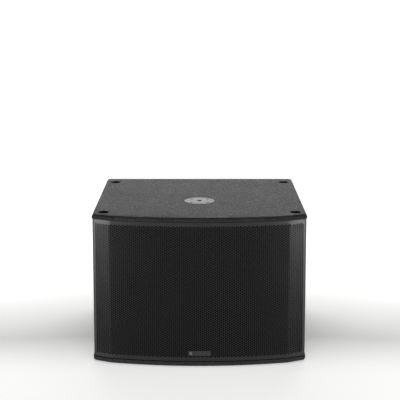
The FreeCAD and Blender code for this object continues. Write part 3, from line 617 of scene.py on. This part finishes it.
class Nodes:
    """Short ways to add nodes to a geometry tree."""

    def __init__(self, name, inputs):
        self.tree = bpy.data.node_groups.new(name, "GeometryNodeTree")
        for label, kind, *value in inputs:
            socket = self.tree.interface.new_socket(label, in_out="INPUT", socket_type="NodeSocket" + kind)
            if value:
                socket.default_value = value[0]
        self.tree.interface.new_socket("Geometry", in_out="OUTPUT", socket_type="NodeSocketGeometry")
        self.source = self.tree.nodes.new("NodeGroupInput")
        self.sink = self.tree.nodes.new("NodeGroupOutput")

    def value(self, label):
        """A named input of the tree."""
        return self.source.outputs[label]

    def add(self, kind, settings=None, **inputs):
        """A node with its settings, and its inputs set by name with _ for a space."""
        node = self.tree.nodes.new(kind)
        for label, value in (settings or {}).items():
            setattr(node, label, value)
        for label, value in inputs.items():
            feed(self.tree, node.inputs[label.replace("_", " ")], value)
        return node

    def out(self, kind, settings=None, **inputs):
        """The first output of such a node."""
        return self.add(kind, settings, **inputs).outputs[0]

    def math(self, operation, *values):
        """A maths node's result."""
        return maths(self.tree, operation, *values)

    def vector(self, x, y, z):
        """Three values as a vector."""
        return self.out("ShaderNodeCombineXYZ", X=x, Y=y, Z=z)

    def shape(self, label):
        """The mesh of an object that is a named input of the tree."""
        return self.add("GeometryNodeObjectInfo", Object=self.value(label)).outputs["Geometry"]

    def weld(self, *parts):
        """Several meshes as one, joined where they meet."""
        join = self.tree.nodes.new("GeometryNodeJoinGeometry")
        for part in parts:
            self.tree.links.new(part, join.inputs[0])
        return self.out("GeometryNodeMergeByDistance", Geometry=join.outputs[0], Distance=WELD)

    def end(self, result, place=None):
        """Move the result to its place, make it real, paint it and send it out of the tree."""
        if place is not None:
            result = self.out("GeometryNodeTransform", Geometry=result, Translation=place)
        real = self.out("GeometryNodeRealizeInstances", Geometry=result)
        painted = self.out("GeometryNodeSetMaterial", Geometry=real, Material=self.value("Finish"))
        self.tree.links.new(painted, self.sink.inputs[0])
        return self


def run_tree(name, nodes, values):
    """Run a geometry tree on an empty mesh with the given inputs, and return the result as a piece."""
    holder = link_object(name, bpy.data.meshes.new(name))
    modifier = holder.modifiers.new(name, "NODES")
    modifier.node_group = nodes.tree
    for item in nodes.tree.interface.items_tree:
        if item.in_out == "INPUT" and item.name in values:
            modifier[item.identifier] = values[item.name]
    return bake_modifiers(holder)


def perforation_tree():
    """Staggered cells laid flat, joined, thickened, then bent to the bow and facets."""
    nodes = Nodes(
        "staggered_perforation",
        [
            ("Hole Cell", "Object"),
            ("Plain Cell", "Object"),
            ("Columns", "Int", 10),
            ("First Column", "Int", 0),
            ("Rows", "Int", 10),
            ("Column Pitch", "Float", COLUMN_PITCH),
            ("Row Pitch", "Float", ROW_PITCH),
            ("Left End", "Float", 0.0),
            ("Low End", "Float", 0.0),
            ("Sheet", "Float", GRILLE_SHEET),
            ("Bow Radius", "Float", plan.radius),
            ("Bow Centre", "Float", plan.centre_y),
            ("Bow Half", "Float", plan.bow_half),
            ("Bend X", "Float", plan.bend.x),
            ("Bend Y", "Float", plan.bend.y),
            ("Facet Slope", "Float", SLOPE),
            ("Finish", "Material"),
        ],
    )
    rows = nodes.value("Rows")
    index = nodes.out("GeometryNodeInputIndex")

    def column_of(per_column):
        """Number of the column that a point belongs to."""
        return nodes.math("FLOOR", nodes.math("DIVIDE", nodes.math("ADD", index, 0.25), per_column))

    def is_odd(column):
        """1 in every other column, counted over the whole sheet."""
        return nodes.math("FLOORED_MODULO", nodes.math("ADD", column, nodes.value("First Column")), 2.0)

    def cell_points(per_column, column, up, spare):
        """Points in the middle of the columns, at heights counted in rows, without the spare ones."""
        counted = nodes.math("ADD", nodes.math("ADD", column, nodes.value("First Column")), 0.5)
        across = nodes.math("MULTIPLY_ADD", counted, nodes.value("Column Pitch"), nodes.value("Left End"))
        height = nodes.math("MULTIPLY_ADD", up, nodes.value("Row Pitch"), nodes.value("Low End"))
        points = nodes.out(
            "GeometryNodePoints",
            Count=nodes.math("MULTIPLY", nodes.value("Columns"), per_column),
            Position=nodes.vector(across, 0.0, height),
        )
        return nodes.out("GeometryNodeDeleteGeometry", {"domain": "POINT"}, Geometry=points, Selection=spare)

    def laid(label, points):
        """A cell on each point."""
        placed = nodes.out("GeometryNodeInstanceOnPoints", Points=points, Instance=nodes.shape(label))
        return nodes.out("GeometryNodeRealizeInstances", Geometry=placed)

    column = column_of(rows)
    row = nodes.math("ROUND", nodes.math("SUBTRACT", index, nodes.math("MULTIPLY", column, rows)))
    odd = is_odd(column)
    up = nodes.math("ADD", row, nodes.math("MULTIPLY_ADD", odd, 0.5, 0.5))
    last = nodes.math("COMPARE", row, nodes.math("SUBTRACT", rows, 1.0), 0.1)
    holes = cell_points(rows, column, up, nodes.math("MULTIPLY", odd, last))

    column = column_of(2.0)
    upper = nodes.math("FLOORED_MODULO", index, 2.0)
    up = nodes.math("MULTIPLY_ADD", upper, nodes.math("SUBTRACT", rows, 0.5), 0.25)
    ends = cell_points(2.0, column, up, nodes.math("SUBTRACT", 1.0, is_odd(column)))

    flat = nodes.weld(laid("Hole Cell", holes), laid("Plain Cell", ends))
    sheet = nodes.value("Sheet")
    back = nodes.out("GeometryNodeSetPosition", Geometry=flat, Offset=nodes.vector(0.0, sheet, 0.0))
    raised = nodes.out(
        "GeometryNodeExtrudeMesh",
        {"mode": "FACES"},
        Mesh=back,
        Offset=(0.0, -1.0, 0.0),
        Offset_Scale=sheet,
        Individual=False,
    )
    solid = nodes.weld(raised, nodes.out("GeometryNodeFlipFaces", Mesh=back))

    position = nodes.add("ShaderNodeSeparateXYZ", Vector=nodes.out("GeometryNodeInputPosition"))
    length, depth, level = position.outputs
    reach = nodes.math("ABSOLUTE", length)
    radius = nodes.value("Bow Radius")
    angle = nodes.math("DIVIDE", length, radius)
    arm = nodes.math("SUBTRACT", radius, depth)
    bow_x = nodes.math("MULTIPLY", arm, nodes.math("SINE", angle))
    bow_drop = nodes.math("MULTIPLY", arm, nodes.math("COSINE", angle))
    bow_y = nodes.math("SUBTRACT", nodes.value("Bow Centre"), bow_drop)
    run = nodes.math("COSINE", nodes.value("Facet Slope"))
    rise = nodes.math("SINE", nodes.value("Facet Slope"))
    past = nodes.math("SUBTRACT", reach, nodes.value("Bow Half"))
    facet_out = nodes.math("MULTIPLY_ADD", past, run, nodes.value("Bend X"))
    facet_x = nodes.math("SUBTRACT", facet_out, nodes.math("MULTIPLY", depth, rise))
    facet_x = nodes.math("MULTIPLY", facet_x, nodes.math("SIGN", length))
    facet_back = nodes.math("MULTIPLY_ADD", past, rise, nodes.value("Bend Y"))
    facet_y = nodes.math("MULTIPLY_ADD", depth, run, facet_back)
    on_facet = nodes.math("GREATER_THAN", reach, nodes.value("Bow Half"))
    pick = nodes.add("GeometryNodeSwitch", {"input_type": "VECTOR"}, Switch=on_facet)
    feed(nodes.tree, pick.inputs["False"], nodes.vector(bow_x, bow_y, level))
    feed(nodes.tree, pick.inputs["True"], nodes.vector(facet_x, facet_y, level))
    bent = nodes.out("GeometryNodeSetPosition", Geometry=solid, Position=pick.outputs[0])
    return nodes.end(bent)


def make_grille():
    """Perforated sheet in three spans, and the plain border that runs round it and down both flanges."""
    field_half = plan.corner_start + plan.corner_length / 2 - SIDE_BORDER
    columns = int(2 * field_half / COLUMN_PITCH)
    columns -= columns % 2
    field_half = columns * COLUMN_PITCH / 2
    rows = int((GRILLE_HIGH - GRILLE_LOW - 2 * TOP_BORDER) / ROW_PITCH)
    field_low = (GRILLE_LOW + GRILLE_HIGH) / 2 - rows * ROW_PITCH / 2
    hole = cell_object("hole_cell", *hole_cell(COLUMN_PITCH, ROW_PITCH, HOLE_RADIUS))
    plain = cell_object("plain_cell", *plain_cell(COLUMN_PITCH, ROW_PITCH))
    nodes = perforation_tree()
    names = ("left", "middle", "right")
    starts = [round(columns * number / len(names) / 2) * 2 for number in range(len(names) + 1)]
    for name, start, stop in zip(names, starts, starts[1:]):
        values = {
            "Hole Cell": hole,
            "Plain Cell": plain,
            "Columns": stop - start,
            "First Column": start,
            "Rows": rows,
            "Left End": -field_half,
            "Low End": field_low,
            "Finish": MATERIALS["grille_powder_coat"],
        }
        stand_in(run_tree("grille_mesh_" + name, nodes, values), "grille")
    bpy.data.objects.remove(hole)
    bpy.data.objects.remove(plain)
    stand_in(make_grille_border(field_half, field_low, field_low + rows * ROW_PITCH), "grille")


def border_lengths(start, end):
    """Stations along the sheet, close together round the corners."""
    marks = {start, end}
    for side in (-1, 1):
        for step in range(CORNER_STEPS + 1):
            marks.add(side * (plan.corner_start + plan.corner_length * step / CORNER_STEPS))
    for step in range(BOW_STEPS + 1):
        marks.add(-plan.bow_half + 2 * plan.bow_half * step / BOW_STEPS)
    inside = sorted(mark for mark in marks if start - 1e-9 <= mark <= end + 1e-9)
    kept = [inside[0]]
    for mark in inside[1:]:
        if mark - kept[-1] > 1e-5:
            kept.append(mark)
    return kept


def bent_strip(start, end, low, high, front=0.0, back=GRILLE_SHEET):
    """Points and faces of a closed strip between two stations, two heights and two depths."""
    verts = []
    faces = []
    lengths = border_lengths(start, end)
    for length in lengths:
        for depth in (front, back):
            x, y = plan.point(length, depth)
            verts += [(x, y, low), (x, y, high)]
    for step in range(len(lengths) - 1):
        here = 4 * step
        there = here + 4
        faces.append((here, there, there + 1, here + 1))
        faces.append((here + 2, here + 3, there + 3, there + 2))
        faces.append((here, here + 2, there + 2, there))
        faces.append((here + 1, there + 1, there + 3, here + 3))
    last = 4 * (len(lengths) - 1)
    faces.append((0, 1, 3, 2))
    faces.append((last, last + 2, last + 3, last + 1))
    return verts, faces


def make_grille_border(field_half, field_low, field_high):
    """The plain frame round the holes, with its side flanges."""
    verts = []
    faces = []
    bars = (
        (-field_half, field_half, GRILLE_LOW, field_low),
        (-field_half, field_half, field_high, GRILLE_HIGH),
        (-plan.end, -field_half, GRILLE_LOW, GRILLE_HIGH),
        (field_half, plan.end, GRILLE_LOW, GRILLE_HIGH),
    )
    for bar in bars:
        more_verts, more_faces = bent_strip(*bar)
        base = len(verts)
        verts += more_verts
        faces += [tuple(base + corner for corner in face) for face in more_faces]
    mesh = plain_mesh("grille_border", verts, faces)
    set_outward(mesh, merge=0.0)
    smooth_by_angle(mesh, 20)
    mesh.materials.append(MATERIALS["grille_powder_coat"])
    return link_object("grille_border", mesh)


# ---- Screws ----

def islands(node):
    """Lowest and highest corner of each separate solid in a node, from its mesh."""
    work = working_copy(frame["nodes"][node].data, DOUBLED)
    seen = set()
    corners = []
    for start in work.verts:
        if start in seen:
            continue
        seen.add(start)
        waiting = [start]
        spots = []
        while waiting:
            vert = waiting.pop()
            spots.append(vert.co.copy())
            for edge in vert.link_edges:
                other = edge.other_vert(vert)
                if other not in seen:
                    seen.add(other)
                    waiting.append(other)
        corners.append([Vector(end(spot[axis] for spot in spots) for axis in range(3)) for end in (min, max)])
    work.free()
    return corners


def turned_rings(profile, sides):
    """Surface through rings of (radius, height, is_hexagon), closed where the radius is 0."""
    verts = []
    rows = []
    for radius, height, is_hexagon in profile:
        if radius == 0:
            rows.append([len(verts)] * sides)
            verts.append((0, 0, height))
            continue
        rows.append([len(verts) + number for number in range(sides)])
        for number in range(sides):
            angle = 2 * math.pi * number / sides
            reach = radius
            if is_hexagon:
                off_corner = (angle + math.pi / 6) % (math.pi / 3) - math.pi / 6
                reach = radius * math.cos(math.pi / 6) / math.cos(math.pi / 6 - abs(off_corner))
            verts.append((reach * math.cos(angle), reach * math.sin(angle), height))
    faces = []
    for lower, upper in zip(rows, rows[1:]):
        for number in range(sides):
            following = (number + 1) % sides
            corners = (lower[number], lower[following], upper[following], upper[number])
            faces.append(tuple(dict.fromkeys(corners)))
    return verts, faces


def screw_shape(head, dome, sink):
    """Screw with a hexagon socket, its seat at z = 0: a domed head above it or a sunk one below it."""
    socket = head * 0.52
    shank = head * 0.5
    shank_end = -sink - 0.003
    rim = 0.0003
    profile = [(0, shank_end, False), (shank, shank_end, False), (shank, -sink, False)]
    if dome:
        profile += [(shank, 0.0, False), (head, 0.0, False), (head, dome * 0.35, False)]
        profile += [(head * 0.93, dome * 0.72, False), (head * 0.76, dome, False)]
    else:
        profile += [(head - rim, -rim, False), (head - 2 * rim, 0.0, False)]
    profile += [(socket + rim, dome, True), (socket, dome - rim, True)]
    floor = dome - head * 0.42
    profile += [(socket * 0.98, floor, True), (0, floor - rim, False)]
    mesh = plain_mesh("screw", *turned_rings(profile, sides=24))
    set_outward(mesh)
    smooth_by_angle(mesh, 35)
    return link_object("screw", mesh)


def screw_tree():
    """A screw on every point, its axis along the point's facing, turned at random about it."""
    inputs = [("Places", "Object"), ("Screw", "Object"), ("Seed", "Int", 1), ("Finish", "Material")]
    nodes = Nodes("screws_on_points", inputs)
    facing = nodes.out("GeometryNodeInputNamedAttribute", {"data_type": "FLOAT_VECTOR"}, Name="facing")
    aim = nodes.out("FunctionNodeAlignRotationToVector", {"axis": "Z"}, Vector=facing)
    spin = nodes.add("FunctionNodeRandomValue", {"data_type": "FLOAT"}, Seed=nodes.value("Seed"))
    spin.inputs[3].default_value = 2 * math.pi
    about = nodes.out("FunctionNodeAxisAngleToRotation", Axis=(0.0, 0.0, 1.0), Angle=spin.outputs[1])
    turned = nodes.add("FunctionNodeRotateRotation", {"rotation_space": "LOCAL"}, Rotation=aim)
    feed(nodes.tree, turned.inputs[1], about)
    placed = nodes.out(
        "GeometryNodeInstanceOnPoints",
        Points=nodes.shape("Places"),
        Instance=nodes.shape("Screw"),
        Rotation=turned.outputs[0],
    )
    return nodes.end(placed)


# Axis, head radius, height of the domed head and depth of the sunk head of each kind of screw.
SCREW_KINDS = {
    "grille_screws": ("X", 0.0046, 0.0016, 0.0024),
    "handle_screws": ("X", 0.0044, 0.0, 0.0022),
    "pole_screws": ("Z", 0.0056, 0.0, 0.0028),
    "stack_screws": ("Z", 0.0046, 0.0, 0.0024),
    "amp_screws": ("Y", 0.0042, 0.0024, 0.0),
    "socket_screws": ("Y", 0.0026, 0.0016, 0.0),
    "driver_bolts": ("Y", 0.006, 0.005, 0.0),
}


def screw_places(node, axis, proud):
    """Points at the seats of a node's screws, each with the way that its head faces."""
    number = "XYZ".index(axis)
    middle = (cad_low[number] + cad_high[number]) / 2
    spots = []
    ways = []
    for low, high in islands(node):
        centre = (low + high) / 2
        sign = 1 if centre[number] > middle else -1
        centre[number] = high[number] if sign > 0 else low[number]
        way = Vector((0, 0, 0))
        way[number] = sign
        spots.append(centre - way * proud)
        ways.append(way)
    mesh = plain_mesh(node + "_places", spots, [])
    facing = mesh.attributes.new("facing", "FLOAT_VECTOR", "POINT")
    for place, way in enumerate(ways):
        facing.data[place].vector = way
    return link_object(node + "_places", mesh)


def make_screws():
    """Every visible kind of screw, made by one tree."""
    nodes = screw_tree()
    for seed, (node, (axis, head, dome, sink)) in enumerate(SCREW_KINDS.items(), start=1):
        # Domed heads end where the frame's do, but those of the grille seat there.
        proud = 0.0 if node == "grille_screws" else dome
        places = screw_places(node, axis, proud)
        screw = screw_shape(head, dome, sink)
        values = {"Places": places, "Screw": screw, "Seed": seed, "Finish": MATERIALS[SLOT_OF[node]]}
        stand_in(run_tree(node + "_made", nodes, values), node)
        bpy.data.objects.remove(places)
        bpy.data.objects.remove(screw)


# ---- Details on and behind the front ----

FOAM_GAP = 0.0008  # between the sheet and the foam
FOAM_THICKNESS = 0.0072
FOAM_GRID = 0.006  # size of the squares that the foam is made of
PORE_DEPTH = 0.0005
PORE_SCALE = 90.0


def make_foam():
    """Foam lining behind the sheet, its open face rough with pores."""
    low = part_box("grille_foam")[0].z
    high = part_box("grille_foam")[1].z
    half = plan.bow_half + 0.6 * plan.facet_length
    front = GRILLE_SHEET + FOAM_GAP
    columns = int(2 * half / FOAM_GRID)
    rows = int((high - low) / FOAM_GRID)
    verts = []
    for depth in (front, front + FOAM_THICKNESS):
        for column in range(columns + 1):
            for row in range(rows + 1):
                length = -half + 2 * half * column / columns
                level = low + (high - low) * row / rows
                pore = mathutils_noise.noise(Vector((length, depth, level)) * PORE_SCALE)
                x, y = plan.point(length, depth + PORE_DEPTH * (1 + pore))
                verts.append((x, y, level))
    layer = (columns + 1) * (rows + 1)
    faces = []
    for column in range(columns):
        for row in range(rows):
            here = column * (rows + 1) + row
            there = here + rows + 1
            faces.append((here, there, there + 1, here + 1))
            faces.append((layer + here, layer + here + 1, layer + there + 1, layer + there))
    for column in range(columns):
        for row in (0, rows):
            here = column * (rows + 1) + row
            there = here + rows + 1
            faces.append((here, there, layer + there, layer + here))
    for row in range(rows):
        for column in (0, columns):
            here = column * (rows + 1) + row
            faces.append((here, here + 1, layer + here + 1, layer + here))
    piece = new_piece("grille_foam_sheet", verts, faces, MATERIALS["foam"])
    smooth_by_angle(piece.data, 60)
    stand_in(piece, "grille_foam")


def make_badge_mark():
    """Plain raised stripe at the left end of the blank badge."""
    low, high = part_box("badge_bar")
    margin = 0.004
    width = 0.008
    front = BADGE_FRONT - 0.0003
    left = low.x + margin
    strip = bent_strip(left, left + width, low.z + margin, high.z - margin, front, BADGE_FRONT)
    piece = new_piece("badge_stripe", *strip, MATERIALS["button_plastic"])
    add_detail(piece, "cabinet")


THREAD_PITCH = 0.0011


def make_pole_thread():
    """Fine thread that winds down the bore of the pole plate."""
    nodes = Nodes(
        "wound_thread",
        [
            ("Radius", "Float", 0.0084),
            ("Pitch", "Float", THREAD_PITCH),
            ("Turns", "Float", 20.0),
            ("Ridge", "Float", 0.0006),
            ("Place", "Vector"),
            ("Finish", "Material"),
        ],
    )
    winding = nodes.out(
        "GeometryNodeCurveSpiral",
        Resolution=28,
        Rotations=nodes.value("Turns"),
        Height=nodes.math("MULTIPLY", nodes.value("Pitch"), nodes.value("Turns")),
        Start_Radius=nodes.value("Radius"),
        End_Radius=nodes.value("Radius"),
    )
    ridge = nodes.out("GeometryNodeCurvePrimitiveCircle", Resolution=4, Radius=nodes.value("Ridge"))
    wound = nodes.out("GeometryNodeCurveToMesh", Curve=winding, Profile_Curve=ridge, Fill_Caps=True)
    nodes.end(wound, nodes.value("Place"))
    low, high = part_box("pole_plate")
    end_margin = 0.004
    top_margin = 0.0007
    turns = int((high.z - low.z - end_margin) / THREAD_PITCH)
    foot = high.z - top_margin - turns * THREAD_PITCH
    place = ((low.x + high.x) / 2, (low.y + high.y) / 2, foot)
    values = {"Turns": float(turns), "Place": place, "Finish": MATERIALS["black_screws"]}
    piece = run_tree("pole_thread", nodes, values)
    set_outward(piece.data)
    add_detail(piece, "cabinet")


# ---- Driver suspension ----

SECTORS = 12


def make_stretching_ring(node):
    """A ring in sectors, each cut from the node's mesh and closed where it was cut."""
    low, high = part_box(node)
    centre = (low + high) / 2
    for number in range(SECTORS):
        work = working_copy(frame["nodes"][node].data, FRAME_DOUBLED)
        middle = 2 * math.pi * number / SECTORS
        for side in (-1, 1):
            angle = middle + side * math.pi / SECTORS
            outward = Vector((-math.sin(angle), 0, math.cos(angle))) * side
            everything = work.verts[:] + work.edges[:] + work.faces[:]
            cut = bmesh.ops.bisect_plane(
                work, geom=everything, plane_co=centre, plane_no=outward, clear_outer=True
            )
            rim = [item for item in cut["geom_cut"] if isinstance(item, bmesh.types.BMEdge)]
            bmesh.ops.triangle_fill(work, edges=rim, use_beauty=False)
        mesh = bpy.data.meshes.new(f"{node}_sector_{number}")
        write_back(work, mesh)
        smooth_by_angle(mesh, 40)
        mesh.materials.append(MATERIALS[SLOT_OF[node]])
        piece = link_object(mesh.name, mesh)
        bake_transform(piece)
        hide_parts(node)


def make_suspension():
    """The surround and the spider, cut into sectors."""
    make_stretching_ring("surround")
    make_stretching_ring("spider")


# ---- Printed scales and knob lines ----

def tick_tree():
    """Upright ticks on part of a ring, facing along Y."""
    nodes = Nodes(
        "dial_ticks",
        [
            ("Count", "Int", 11),
            ("Radius", "Float", 0.0135),
            ("Tick Width", "Float", 0.0005),
            ("Tick Length", "Float", 0.0024),
            ("Tick Height", "Float", 0.0001),
            ("Sweep", "Float", math.radians(300)),
            ("Place", "Vector"),
            ("Finish", "Material"),
        ],
    )
    index = nodes.out("GeometryNodeInputIndex")
    part = nodes.math("DIVIDE", index, nodes.math("SUBTRACT", nodes.value("Count"), 1.0))
    angle = nodes.math("MULTIPLY", nodes.math("SUBTRACT", part, 0.5), nodes.value("Sweep"))
    across = nodes.math("MULTIPLY", nodes.math("SINE", angle), nodes.value("Radius"))
    up = nodes.math("MULTIPLY", nodes.math("COSINE", angle), nodes.value("Radius"))
    spots = nodes.vector(across, 0.0, up)
    points = nodes.out("GeometryNodePoints", Count=nodes.value("Count"), Position=spots)
    size = nodes.vector(nodes.value("Tick Width"), nodes.value("Tick Height"), nodes.value("Tick Length"))
    placed = nodes.out(
        "GeometryNodeInstanceOnPoints",
        Points=points,
        Instance=nodes.out("GeometryNodeMeshCube", Size=size),
        Rotation=nodes.out("FunctionNodeEulerToRotation", Euler=nodes.vector(0.0, angle, 0.0)),
    )
    return nodes.end(placed, nodes.value("Place"))


def make_knob_line(knob):
    """Pale line let into a knob's face, from near its middle out to its rim."""
    low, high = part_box(knob)
    centre = (low + high) / 2
    verts = []
    for across in (-0.00055, 0.00055):
        for depth in (0.0009, 0.0001):
            for up in (0.0016, 0.0073):
                verts.append((centre.x + across, high.y - depth, centre.z + up))
    faces = [(0, 1, 3, 2), (4, 6, 7, 5), (0, 4, 5, 1), (2, 3, 7, 6), (0, 2, 6, 4), (1, 5, 7, 3)]
    line = new_piece(knob + "_line", verts, faces, MATERIALS["button_plastic"])
    add_detail(line, BODY_OF[knob])


def make_dial_marks():
    """Ring of tick marks round each knob, and the knob's line."""
    nodes = tick_tree()
    print_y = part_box("amp_plate")[1].y + 0.00004
    for knob in ("level_knob", "crossover_knob"):
        low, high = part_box(knob)
        place = ((low.x + high.x) / 2, print_y, (low.z + high.z) / 2)
        values = {"Place": place, "Finish": MATERIALS["button_plastic"]}
        add_detail(run_tree(knob + "_scale", nodes, values), "cabinet")
        make_knob_line(knob)


# ---- Stage, lights and camera ----

def make_floor():
    """Pale studio floor that runs out of sight and glows white away from the cabinet, with painted light just
    in front of the cabinet as well.
    """
    reach = 60.0
    corners = [(x * reach, y * reach, cad_low[2]) for x, y in ((-1, -1), (1, -1), (1, 1), (-1, 1))]
    mesh = plain_mesh("studio_floor", corners, [(0, 1, 2, 3)])
    finish = Finish("studio_paper", specular=0.2)
    grain = finish.pattern(GRAIN, Grain_Scale=60.0, Smudge_Scale=0.8)
    finish.tones(grain["Smudge"], [(0.3, (0.86, 0.86, 0.845)), (0.7, (0.88, 0.88, 0.865))])
    finish.set_plain("Roughness", 0.7)
    finish.set_plain("Emission Strength", 0.9)
    tree = finish.tree
    coords = object_coordinates(tree)
    centred = tree.nodes.new("ShaderNodeMapping")
    centred.inputs["Location"].default_value = (0.0, 1.5, 0.0)
    tree.links.new(coords, centred.inputs["Vector"])
    away = tree.nodes.new("ShaderNodeVectorMath")
    away.operation = "LENGTH"
    tree.links.new(centred.outputs[0], away.inputs[0])
    parts = tree.nodes.new("ShaderNodeSeparateXYZ")
    tree.links.new(coords, parts.inputs[0])
    far_glow = ranged(tree, away.outputs["Value"], 1.0, 2.9, 0.0, 1.0, "SMOOTHSTEP")
    # Painted light: the floor glows from under the cabinet's front out to just in front of it, filling the
    # shade at its front edge.
    front_glow = ranged(tree, parts.outputs["Y"], 0.2, -0.4, 0.0, 0.6, "SMOOTHSTEP")
    glow = maths(tree, "MAXIMUM", far_glow, front_glow)
    tree.links.new(glow, finish.shader.inputs["Emission Color"])
    mesh.materials.append(finish.material)
    link_object("studio_floor", mesh)


def soft_light(name, place, aim, width, height, power):
    """A rectangular soft light that points at aim."""
    light = bpy.data.lights.new(name, "AREA")
    light.shape = "RECTANGLE"
    light.size = width
    light.size_y = height
    light.energy = power
    holder = link_object(name, light)
    holder.location = place
    holder.rotation_euler = (Vector(aim) - Vector(place)).to_track_quat("-Z", "Y").to_euler()
    holder.visible_camera = False
    return holder


def make_lights():
    """White backdrop low down behind, darker overhead and in front, and a standing panel at each side."""
    world = bpy.data.worlds.new("studio")
    bpy.context.scene.world = world
    world.use_nodes = True
    tree = world.node_tree
    parts = tree.nodes.new("ShaderNodeSeparateXYZ")
    tree.links.new(tree.nodes.new("ShaderNodeTexCoord").outputs["Generated"], parts.inputs[0])
    towards_back = ranged(tree, parts.outputs["Y"], -0.3, 0.5, 0.0, 1.0, "SMOOTHSTEP")
    low_down = ranged(tree, parts.outputs["Z"], 0.05, 0.38, 1.0, 0.0, "SMOOTHSTEP")
    white = maths(tree, "MULTIPLY", towards_back, low_down)
    backdrop = tree.nodes["Background"]
    backdrop.inputs["Color"].default_value = (1, 1, 1, 1)
    tree.links.new(maths(tree, "MULTIPLY_ADD", white, 1.5, 0.08), backdrop.inputs["Strength"])
    for side in (-1, 1):
        place = (side * 1.5, -1.15, 0.32)
        panel = soft_light("side_panel_light", place, (side * 0.3, -0.3, 0.3), 0.8, 0.6, 17)
        panel.visible_diffuse = False
    soft_light("back_fill", (0, 1.5, 0.86), (0, 0.2, 0.48), 1.9, 0.35, 5)
    rear = soft_light("rear_fill", (0, 1.4, 1.9), (0, 0.1, 0.3), 2.4, 0.9, 15)
    rear.visible_glossy = False
    soft_light("top_fill", (0, -0.6, 2.6), (0, -0.3, 0), 2.4, 0.9, 5)
    soft_light("front_fill", (0, -3.4, 2.0), (0, -1.2, 0), 3.2, 1.8, 52)


def make_camera():
    """Camera in front and above, tipped down, with its view shifted down as well."""
    camera = bpy.data.cameras.new("camera")
    camera.sensor_width = 36.0
    camera.lens = 96.6
    camera.shift_y = -0.15
    holder = link_object("camera", camera)
    holder.location = (0.0017, FRONT_Y - 3.238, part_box("top_panel")[1].z + 0.748)
    pitch = math.radians(8.83)
    holder.rotation_euler = (math.pi / 2 - pitch, 0, 0)
    bpy.context.scene.camera = holder


# Width of the eased edge of each node that keeps its shape.
EASED = {
    "top_panel": 0.0,
    "bottom_panel": 0.0,
    "side_panel_left": 0.0,
    "side_panel_right": 0.0,
    "back_panel": 0.001,
    "badge_bar": 0.0004,
    "pole_plate": 0.0004,
    "stacking_cups": 0.0005,
    "rubber_feet": 0.0,
    "handle_dish_left": 0.0006,
    "handle_dish_right": 0.0006,
    "handle_grip_left": 0.0,
    "handle_grip_right": 0.0,
    "amp_plate": 0.0004,
    "amp_heatsink": 0.0004,
    "input_socket_left": 0.0003,
    "input_socket_right": 0.0003,
    "link_socket_left": 0.0003,
    "link_socket_right": 0.0003,
    "latch_tab_left": 0.0,
    "latch_tab_right": 0.0,
    "level_knob": 0.0003,
    "crossover_knob": 0.0003,
    "polarity_button": 0.0,
    "switch_frame": 0.0003,
    "power_rocker": 0.0004,
    "mains_inlet": 0.0003,
    "status_lamps": 0.0,
    "cone": 0.0,
    "dust_cap": 0.0,
    "driver_basket": 0.0,
}


def main():
    """Build the scene."""
    make_camera()
    make_floor()
    make_lights()
    finish_nodes()
    make_grille()
    make_foam()
    make_badge_mark()
    make_pole_thread()
    make_screws()
    make_suspension()
    make_dial_marks()
    for node, bevel in EASED.items():
        eased_copy(node, bevel)
    bpy.context.scene.view_settings.view_transform = "Standard"


main()
